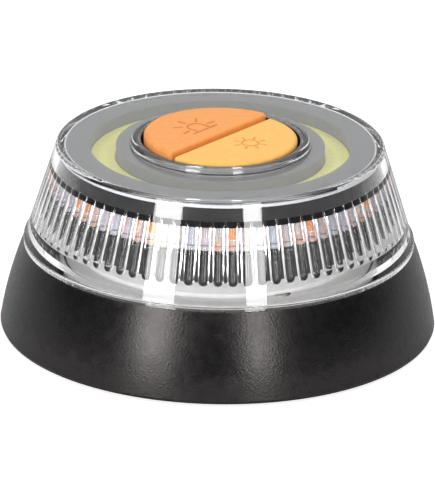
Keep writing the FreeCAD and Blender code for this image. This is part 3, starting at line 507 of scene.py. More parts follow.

# %% [markdown]
# ## The domes under the keys
# Each key stands on a hollow silicone dome that gives way when the key goes down. A stiff dome would cut
# into the pressed key, so a soft one takes its place: a ring of edges raised in steps and closed on top.

# %% Domes
SOFT_DOMES = []
DOME_STEPS = ((0.7 * MM, 1.0), (3.2 * MM, 0.61), (0.7 * MM, 1.0))
DOME_WALL, DOME_LIP = 0.65 * MM, 0.1 * MM
for node, joint in (("beacon_dome", "beacon_key_press"), ("torch_dome", "torch_key_press")):
    low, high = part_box(node)
    middle = Vector(((low[0] + high[0]) / 2, (low[1] + high[1]) / 2, low[2]))
    piece = edge_ring("soft_" + node, 48, (high[0] - low[0]) / 2, middle)
    level = middle.copy()
    for rise, share in DOME_STEPS:
        level.z += rise
        pull_up(rise, share, level)
    bpy.ops.mesh.edge_face_add()
    thicken(piece, DOME_WALL, DOME_LIP)
    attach(piece, "housing")
    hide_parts(node)
    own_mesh(piece)
    SOFT_DOMES.append(piece)
    print(piece.name, "is", round((level.z - middle.z) / MM, 2), "mm tall")

# %% [markdown]
# ## Drawing the marks
# Each mark is drawn flat, about its own middle, then turned with the slanting split between the keys and
# laid on its key. Where two lines cross, one is a hair lower, so that no two faces lie in one plane.

# %% Dome lamp on the orange key
KEY_TURN = math.radians(51.3)
BEACON_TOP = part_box("beacon_key")[1][2]
TORCH_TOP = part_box("torch_key")[1][2]


def on_key(top, across, along):
    """Where a mark lies on a key, measured across and along the split between the keys."""
    turn = Matrix.Rotation(KEY_TURN, 4, "Z")
    return Matrix.Translation((0, 0, top)) @ turn @ Matrix.Translation((across, along, 0))


FOOT, POST, ARCH = 4.1 * MM, 2.1 * MM, 2.5 * MM
RAY_IN, RAY_OUT = 3.4 * MM, 5.3 * MM
hub = Vector((0, ARCH))
lines = [bar((-FOOT, 0), (FOOT, 0)), bar((-POST, 0), (-POST, ARCH), up=LINE_UP * 0.9),
         bar((POST, 0), (POST, ARCH), up=LINE_UP * 0.9),
         hoop(hub, POST, up=LINE_UP * 0.95, keep_above=ARCH)]
for step in range(5):
    ray = polar(1, -8 + step * 49)
    lines.append(bar(hub + ray * RAY_IN, hub + ray * RAY_OUT))
beacon_mark = one_mark("beacon_key_mark", lines, "beacon_key",
                       on_key(BEACON_TOP, -0.6 * MM, 4.1 * MM))

# %% Plain lamp on the amber key
LAMP_R, LAMP_RAY_IN, LAMP_RAY_OUT = 1.9 * MM, 2.7 * MM, 3.7 * MM
lines = [hoop((0, 0), LAMP_R)]
for step in range(8):
    ray = polar(1, step * 45 + 22.5)
    lines.append(bar(ray * LAMP_RAY_IN, ray * LAMP_RAY_OUT))
torch_mark = one_mark("torch_key_mark", lines, "torch_key",
                      on_key(TORCH_TOP, 1.1 * MM, -7.7 * MM))

# %% [markdown]
# ## The marks underneath
# The battery cover turns by a few degrees to come off. A cover like this has a raised arrow for the way it
# turns, a pointer on its edge, and two stops on the plate round it, a dot for open and a bar for shut. They
# face down, so each mark is made face up and then turned over.

# %% Arrow and pointer on the battery cover
COVER_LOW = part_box("battery_cover")[0][2]
PLATE_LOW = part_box("bottom_plate")[0][2]
over = Matrix.Rotation(math.pi, 4, "X")
ARROW_R, ARROW_W, ARROW_UP, HEAD = 21 * MM, 0.9 * MM, 0.2 * MM, 4.2 * MM
ARROW_FROM, ARROW_STEP, ARROW_STEPS = 52, 5.4, 14
A_HAIR = 0.01 * MM
lines = []
for step in range(ARROW_STEPS):
    start, end = (polar(ARROW_R, ARROW_FROM + ARROW_STEP * k) for k in (step, step + 1))
    lines.append(bar(start, end, ARROW_W, ARROW_UP - A_HAIR * (step % 2)))
tip = ARROW_FROM + ARROW_STEP * ARROW_STEPS
point = polar(ARROW_R, tip)
for side in (-1, 1):
    lines.append(bar(point, point + polar(HEAD, tip - 90 + side * 38), ARROW_W, ARROW_UP + A_HAIR * (1 + side)))
POINTER_IN, POINTER_OUT, POINTER_W = 25 * MM, 28.5 * MM, 1.2 * MM
lines.append(bar((0, -POINTER_OUT), (0, -POINTER_IN), POINTER_W, ARROW_UP))
cover_mark = one_mark("battery_cover_mark", lines, "battery_cover",
                      Matrix.Translation((0, 0, COVER_LOW)) @ over)

# %% Stops on the plate
MARK_R, MARK_REACH, MARK_W, DOT_R, DOT_W = 36.6 * MM, 0.9 * MM, 1.0 * MM, 0.8 * MM, 0.6 * MM
shut, loose = polar(1, -90), polar(MARK_R, -65)
lines = [bar(shut * (MARK_R - MARK_REACH), shut * (MARK_R + MARK_REACH), MARK_W, ARROW_UP),
         hoop(loose, DOT_R, DOT_W, ARROW_UP)]
plate_mark = one_mark("bottom_plate_mark", lines, "housing",
                      Matrix.Translation((0, 0, PLATE_LOW)) @ over)

# %% [markdown]
# ## Shared effects
# Some effects appear on many parts: the grain of a textured mould, dust that settles on what faces up,
# the rubbed edge of a handled part, which also gives a painted sheen on the skirt's foot and a painted
# shade on the keys' rims, and marks that repeat in a ring of screws or lamps. Each becomes a node group
# that is built once. A group hands out only heights, masks and places, and the material decides what they
# do to its own colour and roughness.

# %% A new effect
def effect(name, outputs, **inputs):
    """A group that gives numbers. Its inputs are numbers with a default, or vectors where None is given."""
    made = bpy.data.node_groups.new(name, "ShaderNodeTree")
    for label, value in inputs.items():
        kind = "NodeSocketVector" if value is None else "NodeSocketFloat"
        socket = made.interface.new_socket(label, in_out="INPUT", socket_type=kind)
        if value is not None:
            socket.default_value = value
    for label in outputs:
        made.interface.new_socket(label, in_out="OUTPUT", socket_type="NodeSocketFloat")
    return made, made.nodes.new("NodeGroupInput").outputs, made.nodes.new("NodeGroupOutput").inputs


def use(group, **values):
    return add(tree_of(*values.values()), "Group", {"node_tree": group}, **values).outputs


# %% Mould grain
# Small rounded cells like fine leather, broken up by a softer, larger unevenness.
grain, taken, given = effect("mould_grain", ("Height", "Blotch"), Place=None, Cell=0.0007)
per_metre = sum_of("DIVIDE", 1.0, taken["Cell"])
warp = add(grain, "TexNoise", None, Vector=taken["Place"], Scale=times(per_metre, 0.6), Detail=1.0)
shift = add(grain, "VectorMath", {"operation": "SCALE"}, Vector=warp.outputs["Color"])
plug(times(taken["Cell"], 0.8), shift.inputs["Scale"])
bent = add(grain, "VectorMath", None, Vector=taken["Place"])
plug(shift.outputs[0], bent.inputs[1])
cells = add(grain, "TexVoronoi", {"feature": "SMOOTH_F1"}, Vector=bent.outputs[0], Scale=per_metre, Smoothness=0.35)
soft = noise(taken["Place"], times(per_metre, 0.22), 3.0)
plug(sum_of("MULTIPLY_ADD", soft, 0.2, cells.outputs["Distance"]), given["Height"])
plug(span(soft, 0.35, 0.65), given["Blotch"])

# %% Settled dust
dust, taken, given = effect("settled_dust", ["Mask"], Place=None, Facing=None, Amount=0.3)
upward = split(taken["Facing"])["Z"]
clouds = noise(taken["Place"], 90.0, 6.0, 0.7)
specks = noise(taken["Place"], 2600.0, 1.0)
lying = times(span(upward, 0.1, 0.9), span(clouds, 0.4, 0.75))
both = times(lying, span(specks, 0.35, 0.7, 0.4, 1.0))
plug(times(both, taken["Amount"]), given["Mask"])

# %% Rubbed edge, painted sheen and painted shade
# The mask is 1 on a circle round the beacon's axis, given by its radius and height, and breaks up and
# fades away from it. It follows the place of an edge, not the mesh, so it suits turned parts.
# Besides real rubbing, the skirt uses it for a painted sheen along its foot and the keys for a painted shade on their
# rims.
edge_wear_and_shade, taken, given = effect("edge_wear_and_painted_shade", ["Mask"], Place=None, Radius=0.05, Height=0.0, Reach=0.001)
out_from, up = round_axis(taken["Place"])
across = sum_of("SUBTRACT", out_from, taken["Radius"])
updown = sum_of("SUBTRACT", up, taken["Height"])
away = sum_of("DIVIDE", length_of(across, updown), taken["Reach"])
chips = noise(taken["Place"], 420.0, 5.0, 0.65)
worn = sum_of("SUBTRACT", span(chips, 0.3, 0.7, 0.2, 1.5), away)
plug(span(worn, 0.0, 0.6), given["Mask"])

# %% Handling marks
handled, taken, given = effect("handling_marks", ("Smudge", "Scratch"), Place=None)
plug(span(noise(taken["Place"], 70.0, 4.0, 0.6), 0.35, 0.7), given["Smudge"])
strokes = [drawn_out(taken["Place"], (90.0, 90.0 * stretch, 600.0), 1.0, (0.3, 0.2, slant))
           for slant, stretch in ((0.4, 40.0), (1.9, 55.0))]
scratches = [span(stroke, 0.68, 0.76) for stroke in strokes]
plug(sum_of("MAXIMUM", *scratches), given["Scratch"])

# %% Places round a ring
# Screws, magnets and lamps stand in rings. This group folds the whole ring onto one member: its outputs
# say how far a point is from the middle of the nearest member, sideways, outwards and in all.
folded, taken, given = effect("round_a_ring", ("Sideways", "Outwards", "Distance", "Height"),
                              Place=None, Count=4.0, First=0.0, Circle=0.04)
parts = split(taken["Place"])
bearing = sum_of("SUBTRACT", sum_of("ARCTAN2", parts["Y"], parts["X"]), taken["First"])
half = sum_of("DIVIDE", math.pi, taken["Count"])
near = sum_of("WRAP", bearing, half, times(half, -1.0))
reach = length_of(parts["X"], parts["Y"])
sideways = times(reach, sum_of("SINE", near))
outwards = sum_of("SUBTRACT", times(reach, sum_of("COSINE", near)), taken["Circle"])
plug(sideways, given["Sideways"])
plug(outwards, given["Outwards"])
plug(length_of(sideways, outwards), given["Distance"])
plug(parts["Z"], given["Height"])

# %% Inside a band
# 1 where a value lies within Half of Middle, falling to 0 over Soft.
band, taken, given = effect("inside_a_band", ["Mask"], Value=0.0, Middle=0.0, Half=0.001, Soft=0.0001)
off = sum_of("ABSOLUTE", sum_of("SUBTRACT", taken["Value"], taken["Middle"]))
past = sum_of("DIVIDE", sum_of("SUBTRACT", off, taken["Half"]), taken["Soft"])
plug(span(past, 0.0, 1.0, 1.0, 0.0), given["Mask"])


def within(value, middle, half, soft=0.05 * MM):
    return use(band, Value=value, Middle=middle, Half=half, Soft=soft)["Mask"]


# %% Board tracks
# Copper under the lacquer of a circuit board: wandering lines with a round pad where they end.
tracks, taken, given = effect("board_tracks", ("Track", "Pad"), Place=None, Pitch=0.003)
flat = add(tracks, "VectorMath", {"operation": "MULTIPLY"}, Vector=taken["Place"])
flat.inputs[1].default_value = (1, 1, 0)
per_metre = sum_of("DIVIDE", 1.0, taken["Pitch"])
first, second, spots = (
    add(tracks, "TexVoronoi", {"feature": feature, "distance": distance}, Vector=flat.outputs[0], Scale=per_metre,
        Randomness=0.8).outputs["Distance"]
    for feature, distance in (("F1", "MANHATTAN"), ("F2", "MANHATTAN"), ("F1", "EUCLIDEAN")))
gap = sum_of("SUBTRACT", second, first)
plug(span(gap, 0.08, 0.14, 1.0, 0.0), given["Track"])
plug(span(spots, 0.13, 0.17, 1.0, 0.0), given["Pad"])
print("shared effects:", [group.name for group in bpy.data.node_groups])

# %% [markdown]
# ## The black skirt
# The skirt is hard plastic with a thin soft coat. Such a coat is nearly black, matt, and has a fine
# leathery grain that breaks up the reflection of a lamp. It picks up dust, and it is polished paler where
# hands and shelves rub it at the shoulder under the lens. Along the foot it is painted paler, a painted
# sheen for the light that its rounded lower edge catches.

# %% Skirt
# The ledge under the lens foot has a ring of white paint, which carries the deck's light outwards.
SHOULDER_R, LEDGE_IN, LEDGE_OUT, LEDGE_DEEP = 44.9 * MM, 39.9 * MM, 41.3 * MM, 1.6 * MM
skirt_out, _, skirt_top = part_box("base_housing")[1]
skirt, tree, place = finish("soft_black_coat", Specular_IOR_Level=0.46, Specular_Tint=(1.0, 0.93, 0.92))
cells = use(grain, Place=place, Cell=0.5 * MM)
lying = use(dust, Place=place, Facing=normal_of(tree), Amount=0.12)["Mask"]
# The paler band along the foot is a painted sheen for light on the lower edge; the shoulder's edge is rubbed.
painted_foot_sheen = use(edge_wear_and_shade, Place=place, Radius=skirt_out - 0.1 * MM, Height=3.0 * MM, Reach=5.5 * MM)["Mask"]
edge_rub = use(edge_wear_and_shade, Place=place, Radius=SHOULDER_R, Height=skirt_top, Reach=0.5 * MM)["Mask"]
marks = use(handled, Place=place)
out_from, up = round_axis(place)
ledge = times(times(above(out_from, LEDGE_IN, 0.1 * MM), below(out_from, LEDGE_OUT)),
              above(up, skirt_top - LEDGE_DEEP, 0.1 * MM))
colour = tint(cells["Blotch"], (0.0045, 0.0042, 0.0044), (0.0062, 0.0058, 0.006))
for mask, shade in (
        (times(painted_foot_sheen, 0.55), (0.021, 0.019, 0.019)), (times(edge_rub, 0.5), (0.03, 0.028, 0.028)),
        (lying, (0.19, 0.18, 0.17)), (ledge, (0.6, 0.595, 0.585))):
    colour = tint(mask, colour, shade)
rough = span(cells["Blotch"], 0.0, 1.0, 0.27, 0.31)
rough = sum_of("SUBTRACT", rough, times(marks["Smudge"], 0.05))
rough = sum_of("ADD", rough, times(marks["Scratch"], 0.06))
paint(tree, Base_Color=colour, Roughness=rough)
bump(cells["Height"], 0.6, 0.032 * MM)
dress(skirt, "base_housing")

# %% [markdown]
# ## The clear lens
# The lens is polycarbonate, which bends light a little more than glass. Its shape does the work: the
# flutes inside spread each lamp into upright slices. For a lamp's ray the lens should not count as solid,
# or all behind it would be in deep shade, so shadow rays pass straight through and lose a little light.
# A faint unevenness in the polish makes the long reflections waver as they do on moulded plastic.

# %% Lens
lens, tree, place = finish("clear_polycarbonate", (0.985, 0.99, 1.0), 0.0, Transmission_Weight=1.0, IOR=1.58)
bump(noise(place, 240.0, 2.0), 0.12, 0.03 * MM)
paint(tree, Roughness=times(use(handled, Place=place)["Scratch"], 0.05))
shadow = tree.nodes.new("ShaderNodeLightPath").outputs["Is Shadow Ray"]
through = add(tree, "BsdfTransparent", None, Color=(0.9, 0.9, 0.9))
surface(tree, blend(shadow, tree.nodes["Principled BSDF"].outputs[0], through.outputs[0]))
dress(lens, "lens_cover")

# %% [markdown]
# ## The black core
# Tower and cap are glossy black plastic. Seen through the flutes they give the dark ground that the lamps
# stand out against. The gloss is not perfect: the tool leaves faint upright draw marks.

# %% Core
DRAW_MARKS = (1500.0, 1500.0, 60.0)
core, tree, place = finish("glossy_black_core", (0.008, 0.008, 0.008), 0.2, Specular_IOR_Level=0.1)
drawn = drawn_out(place, DRAW_MARKS, 2.0)
soft = span(noise(place, 160.0, 3.0), 0.35, 0.7)
paint(tree, Base_Color=tint(soft, (0.007, 0.0068, 0.007), (0.012, 0.0115, 0.0115)),
      Roughness=span(drawn, 0.3, 0.75, 0.2, 0.35))
bump(drawn, 0.25, 0.01 * MM)
dress(core, "core_cap")
wear(seal, core)

# %% Tower with its white band
# The same black plastic, with a ring of white paint on the flange that carries the deck's light outwards.
FLANGE_IN, FLANGE_OUT, FLANGE_TOP = 34.0 * MM, 39.7 * MM, 20.1 * MM
tower, tree, place = finish("tower_black_and_white", rough=0.25, Specular_IOR_Level=0.2)
out_from, up = round_axis(place)
painted = times(times(above(out_from, FLANGE_IN, 0.1 * MM), below(out_from, FLANGE_OUT)),
                above(up, FLANGE_TOP))
drawn = drawn_out(place, DRAW_MARKS, 2.0)
black = tint(drawn, (0.007, 0.0068, 0.007), (0.013, 0.0125, 0.0125))
paint(tree, Base_Color=tint(painted, black, (0.58, 0.575, 0.565)),
      Roughness=span(drawn, 0.3, 0.75, 0.2, 0.35))
bump(drawn, 0.25, 0.01 * MM)
dress(tower, "light_tower")

# %% [markdown]
# ## The grey ring round the work light
# The bezel is a turned-looking plastic ring in satin grey. Under the lens it stays clean, apart from a few
# dark rub marks where its outer edge met the lens when it was pressed in. Its outermost edge is painted
# pale, a painted highlight for the bright line along the rim.

# %% Bezel
STAINS_R, PAINTED_HIGHLIGHT_R = 34.1 * MM, 35.15 * MM
bezel, tree, place = finish("satin_grey", rough=0.42)
cells = use(grain, Place=place, Cell=0.35 * MM)
out_from, up = round_axis(place)
stains = span(noise(place, 240.0, 5.0, 0.75), 0.575, 0.59)
stains = times(within(out_from, STAINS_R, 0.6 * MM, 0.6 * MM), stains)
colour = tint(cells["Blotch"], (0.078, 0.08, 0.083), (0.092, 0.094, 0.097))
colour = tint(times(stains, 0.9), colour, (0.012, 0.012, 0.014))
# Beyond this radius the edge is painted pale, a painted highlight along the rim.
paint(tree, Base_Color=tint(above(out_from, PAINTED_HIGHLIGHT_R), colour, (0.62, 0.62, 0.63)),
      Roughness=span(cells["Blotch"], 0.0, 1.0, 0.38, 0.48))
bump(cells["Height"], 0.25, 0.02 * MM)
dress(bezel, "top_bezel")

# %% [markdown]
# ## The work light
# Rows of small blue chips sit on a ring of aluminium, under one pour of yellow silicone. The silicone is
# pale and slightly cloudy, and the chips show through it only as faint darker dots.

# %% Silicone over the chips
RING_IN, CHIPS = 23.9 * MM, 60.0
middle_of_ring = (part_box("phosphor_ring")[1][0] + RING_IN) / 2
phosphor, tree, place = finish("yellow_silicone", rough=0.45, Coat_Weight=0.2)
chip = use(folded, Place=place, Count=CHIPS, Circle=middle_of_ring)
dots = times(within(chip["Sideways"], 0.0, 0.45 * MM, 0.5 * MM),
             within(sum_of("ABSOLUTE", chip["Outwards"]), 1.3 * MM, 0.35 * MM, 0.5 * MM))
cloud = noise(place, 300.0, 4.0)
colour = tint(span(cloud, 0.3, 0.7), (0.92, 0.9, 0.135), (0.96, 0.94, 0.17))
paint(tree, Base_Color=tint(times(dots, 0.18), colour, (0.42, 0.4, 0.06)))
bump(cloud, 0.3, 0.05 * MM)
dress(phosphor, "phosphor_ring")

# %% Its aluminium ring
cob, tree, place = finish("white_lacquered_aluminium", rough=0.4)
lacquer = noise(place, 500.0, 3.0)
sides = split(normal_of(tree))["Z"]
bare = span(sides, 0.3, 0.6, 1.0, 0.0)
colour = tint(lacquer, (0.66, 0.66, 0.62), (0.74, 0.74, 0.72))
paint(tree, Base_Color=tint(bare, colour, (0.72, 0.73, 0.74)), Metallic=bare)
bump(lacquer, 0.2, 0.02 * MM)
dress(cob, "cob_board")

# %% [markdown]
# ## The ring of amber lamps
# Twelve surface-mounted lamps stand on a narrow white board that is bent round the tower. Each is a pale
# ceramic frame round a window of amber gel with a small chip in its middle, and is soldered to two pads.
# The board has a dark edge low down, where its copper shows under the lacquer, and a painted orange glow
# round each lamp.

# %% White board
strip_low, strip_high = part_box("led_strip")
lamp_low, lamp_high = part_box("amber_leds")
LAMPS, FIRST_LAMP, GLOW_HALF, GLOW_SOFT = 12.0, math.radians(-86), 2.2 * MM, 4.0 * MM
lamp_middle = (lamp_low[2] + lamp_high[2]) / 2
strip, tree, place = finish("white_lamp_board", rough=0.4)
lamp = use(folded, Place=place, Count=LAMPS, First=FIRST_LAMP, Circle=strip_high[0])
pad = times(within(sum_of("ABSOLUTE", lamp["Sideways"]), 2.45 * MM, 0.45 * MM),
            within(lamp["Height"], lamp_middle, 1.5 * MM))
rail = within(lamp["Height"], strip_high[2] - 1.1 * MM, 0.25 * MM)
edge = within(lamp["Height"], strip_low[2] + 1.15 * MM, 0.14 * MM)
haze = noise(place, 420.0, 3.0)
colour = tint(haze, (0.40, 0.41, 0.48), (0.47, 0.475, 0.55))
# Round each lamp the board is tinted orange, a painted glow of the lamp's light on the board.
painted_lamp_glow = within(sum_of("ABSOLUTE", lamp["Sideways"]), 0.0, GLOW_HALF, GLOW_SOFT)
colour = tint(times(painted_lamp_glow, 0.75), colour, (0.66, 0.30, 0.17))
colour = tint(times(rail, 0.25), colour, (0.36, 0.36, 0.4))
colour = tint(times(edge, 0.85), colour, (0.045, 0.042, 0.045))
paint(tree, Base_Color=tint(pad, colour, (0.62, 0.62, 0.63)), Metallic=pad)
bump(sum_of("MAXIMUM", pad, rail), 0.4, 0.03 * MM)
dress(strip, "led_strip")

# %% Lamps
WINDOW_HALF, CHIP_HALF = 1.72 * MM, 0.4 * MM
amber, tree, place = finish("amber_lamp", rough=0.25)
lamp = use(folded, Place=place, Count=LAMPS, First=FIRST_LAMP, Circle=lamp_high[0])
window, chip = (times(within(lamp["Sideways"], 0.0, half, soft), within(lamp["Height"], lamp_middle, half, soft))
                for half, soft in ((WINDOW_HALF, 0.12 * MM), (CHIP_HALF, 0.15 * MM)))
gel = noise(place, 900.0, 2.0)
colour = tint(gel, (0.74, 0.24, 0.07), (0.86, 0.33, 0.11))
colour = tint(times(chip, 0.5), colour, (0.55, 0.16, 0.03))
paint(tree, Base_Color=tint(window, (0.62, 0.6, 0.58), colour))
paint(tree, Roughness=span(window, 0.0, 1.0, 0.45, 0.18))
bump(window, 0.5, -0.08 * MM)
dress(amber, "amber_leds")

# %% [markdown]
# ## The white deck
# Under the lamps a white ring throws light outwards. It is plain satin plastic, a little marked where it
# was handled before the lens went on.

# %% Deck
deck, tree, place = finish("satin_white", rough=0.45)
cells = use(grain, Place=place, Cell=0.5 * MM)
marks = use(handled, Place=place)
colour = tint(cells["Blotch"], (0.69, 0.685, 0.675), (0.74, 0.735, 0.725))
paint(tree, Base_Color=tint(times(marks["Smudge"], 0.25), colour, (0.5, 0.49, 0.47)))
paint(tree, Roughness=span(marks["Smudge"], 0.0, 1.0, 0.4, 0.52))
bump(cells["Height"], 0.15, 0.02 * MM)
dress(deck, "reflector_deck")

# %% [markdown]
# ## The two rubber keys
# The keys are coloured silicone rubber: matt, with a powdery sheen. Their rims are painted a little deeper
# in colour, a painted shade where the rounded edge turns away from the light. Each mark has the same
# rubber, painted darker, a painted shade like that along a moulded line.

# %% Keys
KEY_R = 17.3 * MM


def key_rubber(name, pale, deep, rim_height, amount):
    made, tree, place = finish(name, rough=0.5, Specular_IOR_Level=0.3, Sheen_Weight=0.03, Sheen_Roughness=0.5)
    cells = use(grain, Place=place, Cell=0.3 * MM)
    marks = use(handled, Place=place)
    # The rim is painted a little deeper in colour, a painted shade where the rounded edge turns from the light.
    painted_rim_shade = use(edge_wear_and_shade, Place=place, Radius=KEY_R, Height=rim_height, Reach=0.9 * MM)["Mask"]
    colour = tint(cells["Blotch"], pale, tuple(0.94 * part for part in pale))
    colour = tint(times(painted_rim_shade, 0.35), colour, deep)
    colour = tint(times(marks["Smudge"], amount), colour, deep)
    paint(tree, Base_Color=colour, Roughness=span(marks["Smudge"], 0.0, 1.0, 0.55, 0.44))
    bump(cells["Height"], 0.2, 0.02 * MM)
    return made


orange = key_rubber("orange_rubber", (0.95, 0.39, 0.105), (0.74, 0.2, 0.03), BEACON_TOP, 0.12)
yellow = key_rubber("amber_rubber", (0.98, 0.56, 0.14), (0.92, 0.4, 0.06), TORCH_TOP, 0.1)
dress(orange, "beacon_key")
dress(yellow, "torch_key")
# The marks' rubber is darker, a painted shade like that along a moulded line.
wear(beacon_mark, key_rubber("orange_line", (0.76, 0.24, 0.055), (0.5, 0.12, 0.02), BEACON_TOP, 0.3))
wear(torch_mark, key_rubber("amber_line", (0.82, 0.38, 0.08), (0.66, 0.25, 0.04), TORCH_TOP, 0.3))

# %% Domes under the keys
dome, tree, place = finish("milky_silicone", rough=0.4, Subsurface_Weight=0.25, Subsurface_Scale=0.001)
cloud = noise(place, 400.0, 3.0)
paint(tree, Base_Color=tint(cloud, (0.52, 0.54, 0.55), (0.62, 0.63, 0.63)))
bump(cloud, 0.3, 0.03 * MM)
dress(dome, "beacon_dome", "torch_dome")
for piece in SOFT_DOMES:
    wear(piece, dome)

# %% [markdown]
# ## Underneath
# The plate and the battery cover are black ABS with the dull sparkle of an eroded mould. The cover gets
# bright scratches round its coin slot and along its edge, and the soft parts are dull grey-black rubber
# that dust clings to.

# %% Plate and cover
def black_abs(name, edge_radius, edge_height, slot=False):
    made, tree, place = finish(name, rough=0.5)
    cells = use(grain, Place=place, Cell=0.28 * MM)
    marks = use(handled, Place=place)
    worn = use(edge_wear_and_shade, Place=place, Radius=edge_radius, Height=edge_height, Reach=0.7 * MM)["Mask"]
    if slot:
        parts = split(place)
        near = times(within(parts["X"], 0.0, 8.2 * MM, 1.5 * MM),
                     within(parts["Y"], 0.0, 1.2 * MM, 0.9 * MM))
        worn = sum_of("MAXIMUM", worn, times(near, span(marks["Smudge"], 0.2, 0.8)))
    colour = tint(cells["Blotch"], (0.017, 0.017, 0.018), (0.024, 0.024, 0.025))
    colour = tint(times(marks["Scratch"], 0.4), colour, (0.09, 0.09, 0.09))
    colour = tint(times(worn, 0.55), colour, (0.08, 0.078, 0.075))
    used = sum_of("MAXIMUM", worn, marks["Smudge"])
    paint(tree, Base_Color=colour, Roughness=span(used, 0.0, 1.0, 0.55, 0.38))
    bump(cells["Height"], 0.4, 0.04 * MM)
    return made


COVER_HOLE_R, COVER_R = 33.4 * MM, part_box("battery_cover")[1][0]
plate_paint = black_abs("eroded_black_plate", COVER_HOLE_R, PLATE_LOW)
cover_paint = black_abs("eroded_black_cover", COVER_R, COVER_LOW, slot=True)
dress(plate_paint, "bottom_plate")
dress(cover_paint, "battery_cover")
wear(plate_mark, plate_paint)
wear(cover_mark, cover_paint)

# %% Rubber
def rubber(name, pale, deep, dusty):
    made, tree, place = finish(name, rough=0.8)
    cells = use(grain, Place=place, Cell=0.4 * MM)
    lint = noise(place, 1800.0, 3.0, 0.7)
    colour = tint(cells["Blotch"], deep, pale)
    paint(tree, Base_Color=tint(span(lint, 0.55, 0.8, 0.0, dusty), colour, (0.3, 0.29, 0.27)))
    paint(tree, Roughness=span(lint, 0.4, 0.7, 0.7, 0.9))
    bump(cells["Height"], 0.35, 0.04 * MM)
    return made


grey, tree, place = finish("sleeve_rubber", rough=0.6, Specular_IOR_Level=0.3)
outward = add(tree, "VectorMath", {"operation": "DOT_PRODUCT"}, Vector=place)
plug(normal_of(tree), outward.inputs[1])
cells = use(grain, Place=place, Cell=0.4 * MM)
pale = tint(cells["Blotch"], (0.15, 0.15, 0.152), (0.18, 0.18, 0.182))
outside = span(outward.outputs["Value"], 4.0 * MM, 12.0 * MM)
# Inside it is near black, a painted shade for the gap round the keys; outside it is grey.
paint(tree, Base_Color=tint(outside, (0.012, 0.011, 0.011), pale))
bump(cells["Height"], 0.3, 0.02 * MM)
wear(sleeve, grey)
dress(rubber("foot_rubber_black", (0.035, 0.035, 0.036), (0.026, 0.026, 0.027), 0.35), "foot_pads")
dress(rubber("seal_rubber_grey", (0.06, 0.06, 0.062), (0.045, 0.045, 0.047), 0.1), "base_seal", "cover_seal")
dress(rubber("collar_foam", (0.24, 0.24, 0.245), (0.2, 0.2, 0.205), 0.2), "collar_seal")

# %% [markdown]
# ## Screws and magnets
# Zinc-plated screw heads carry fine rings from turning and a smear of tan in the plating. The magnets
# are nickel-plated, brighter, with tiny pits.

# %% Screws
def plated(name, count, first, circle, base, tan, ring_pitch, rough):
    made, tree, place = finish(name, base, rough, Metallic=1.0)
    one = use(folded, Place=place, Count=count, First=first, Circle=circle)
    rings = sum_of("SINE", times(one["Distance"], 2 * math.pi / ring_pitch))
    smear = noise(place, 700.0, 4.0)
    paint(tree, Base_Color=tint(span(smear, 0.35, 0.7), base, tan))
    paint(tree, Roughness=span(smear, 0.3, 0.7, rough - 0.07, rough + 0.1))
    bump(sum_of("ADD", rings, smear), 0.25, 0.01 * MM)
    return made


ZINC, TAN = (0.56, 0.56, 0.57), (0.48, 0.45, 0.38)
for node, count, first, circle in (("case_screws", 4.0, 45.0, 43.4), ("board_screws", 4.0, 56.3, 27.34),
                                   ("tower_screws", 4.0, 22.5, 36.3), ("switch_screws", 3.0, 30.0, 23.7)):
    dress(plated("zinc_" + node, count, math.radians(first), circle * MM, ZINC, TAN, 0.22 * MM, 0.32), node)
dress(plated("nickel_magnets", 4.0, 0.0, 40.6 * MM, (0.66, 0.65, 0.62), (0.58, 0.56, 0.52), 3.0 * MM, 0.2), "magnets")

# %% [markdown]
# ## Inside the base
# Nobody sees the boards and the cells in daily use, but a repairer does. Each is one solid per part, so a
# finish tells its pieces apart by place: the legs of the chip lie outside its body, the band of a cell
# lies near its end, and the winding of the coil lies between its rims.

# %% Circuit boards
def board(name, lacquer, copper):
    made, tree, place = finish(name, rough=0.35)
    lines = use(tracks, Place=place, Pitch=3.2 * MM)
    weave = add(tree, "TexChecker", None, Vector=place, Scale=2400.0)
    upright = split(normal_of(tree))["Z"]
    face = span(sum_of("ABSOLUTE", upright), 0.5, 0.8)
    pads = times(lines["Pad"], face)
    colour = tint(times(lines["Track"], 0.8), lacquer, copper)
    fibre = tint(weave.outputs["Fac"], (0.46, 0.42, 0.24), (0.52, 0.48, 0.3))
    colour = tint(face, fibre, colour)
    paint(tree, Base_Color=tint(pads, colour, (0.62, 0.6, 0.56)))
    paint(tree, Metallic=pads)
    bump(sum_of("MAXIMUM", lines["Track"], pads), 0.4, 0.03 * MM)
    return made


dress(board("green_main_board", (0.012, 0.11, 0.045), (0.025, 0.19, 0.08)), "main_board")
dress(board("green_switch_board", (0.012, 0.1, 0.05), (0.03, 0.18, 0.09)), "switch_board")

# %% Chip
CHIP_X, CHIP_Y, CHIP_HALF_X, CHIP_HALF_Y, CRISP = 9 * MM, -8 * MM, 3.01 * MM, 2.51 * MM, 0.02 * MM
chip_paint, tree, place = finish("chip_and_legs", rough=0.5)
parts = split(place)
body = times(within(parts["X"], CHIP_X, CHIP_HALF_X, CRISP),
             within(parts["Y"], CHIP_Y, CHIP_HALF_Y, CRISP))
sand = noise(place, 3000.0, 2.0)
dark = tint(sand, (0.012, 0.012, 0.013), (0.022, 0.022, 0.023))
paint(tree, Base_Color=tint(body, (0.7, 0.69, 0.66), dark), Metallic=sum_of("SUBTRACT", 1.0, body),
      Roughness=span(body, 0.0, 1.0, 0.25, 0.6))
bump(sand, 0.3, 0.02 * MM)
dress(chip_paint, "driver_chip")

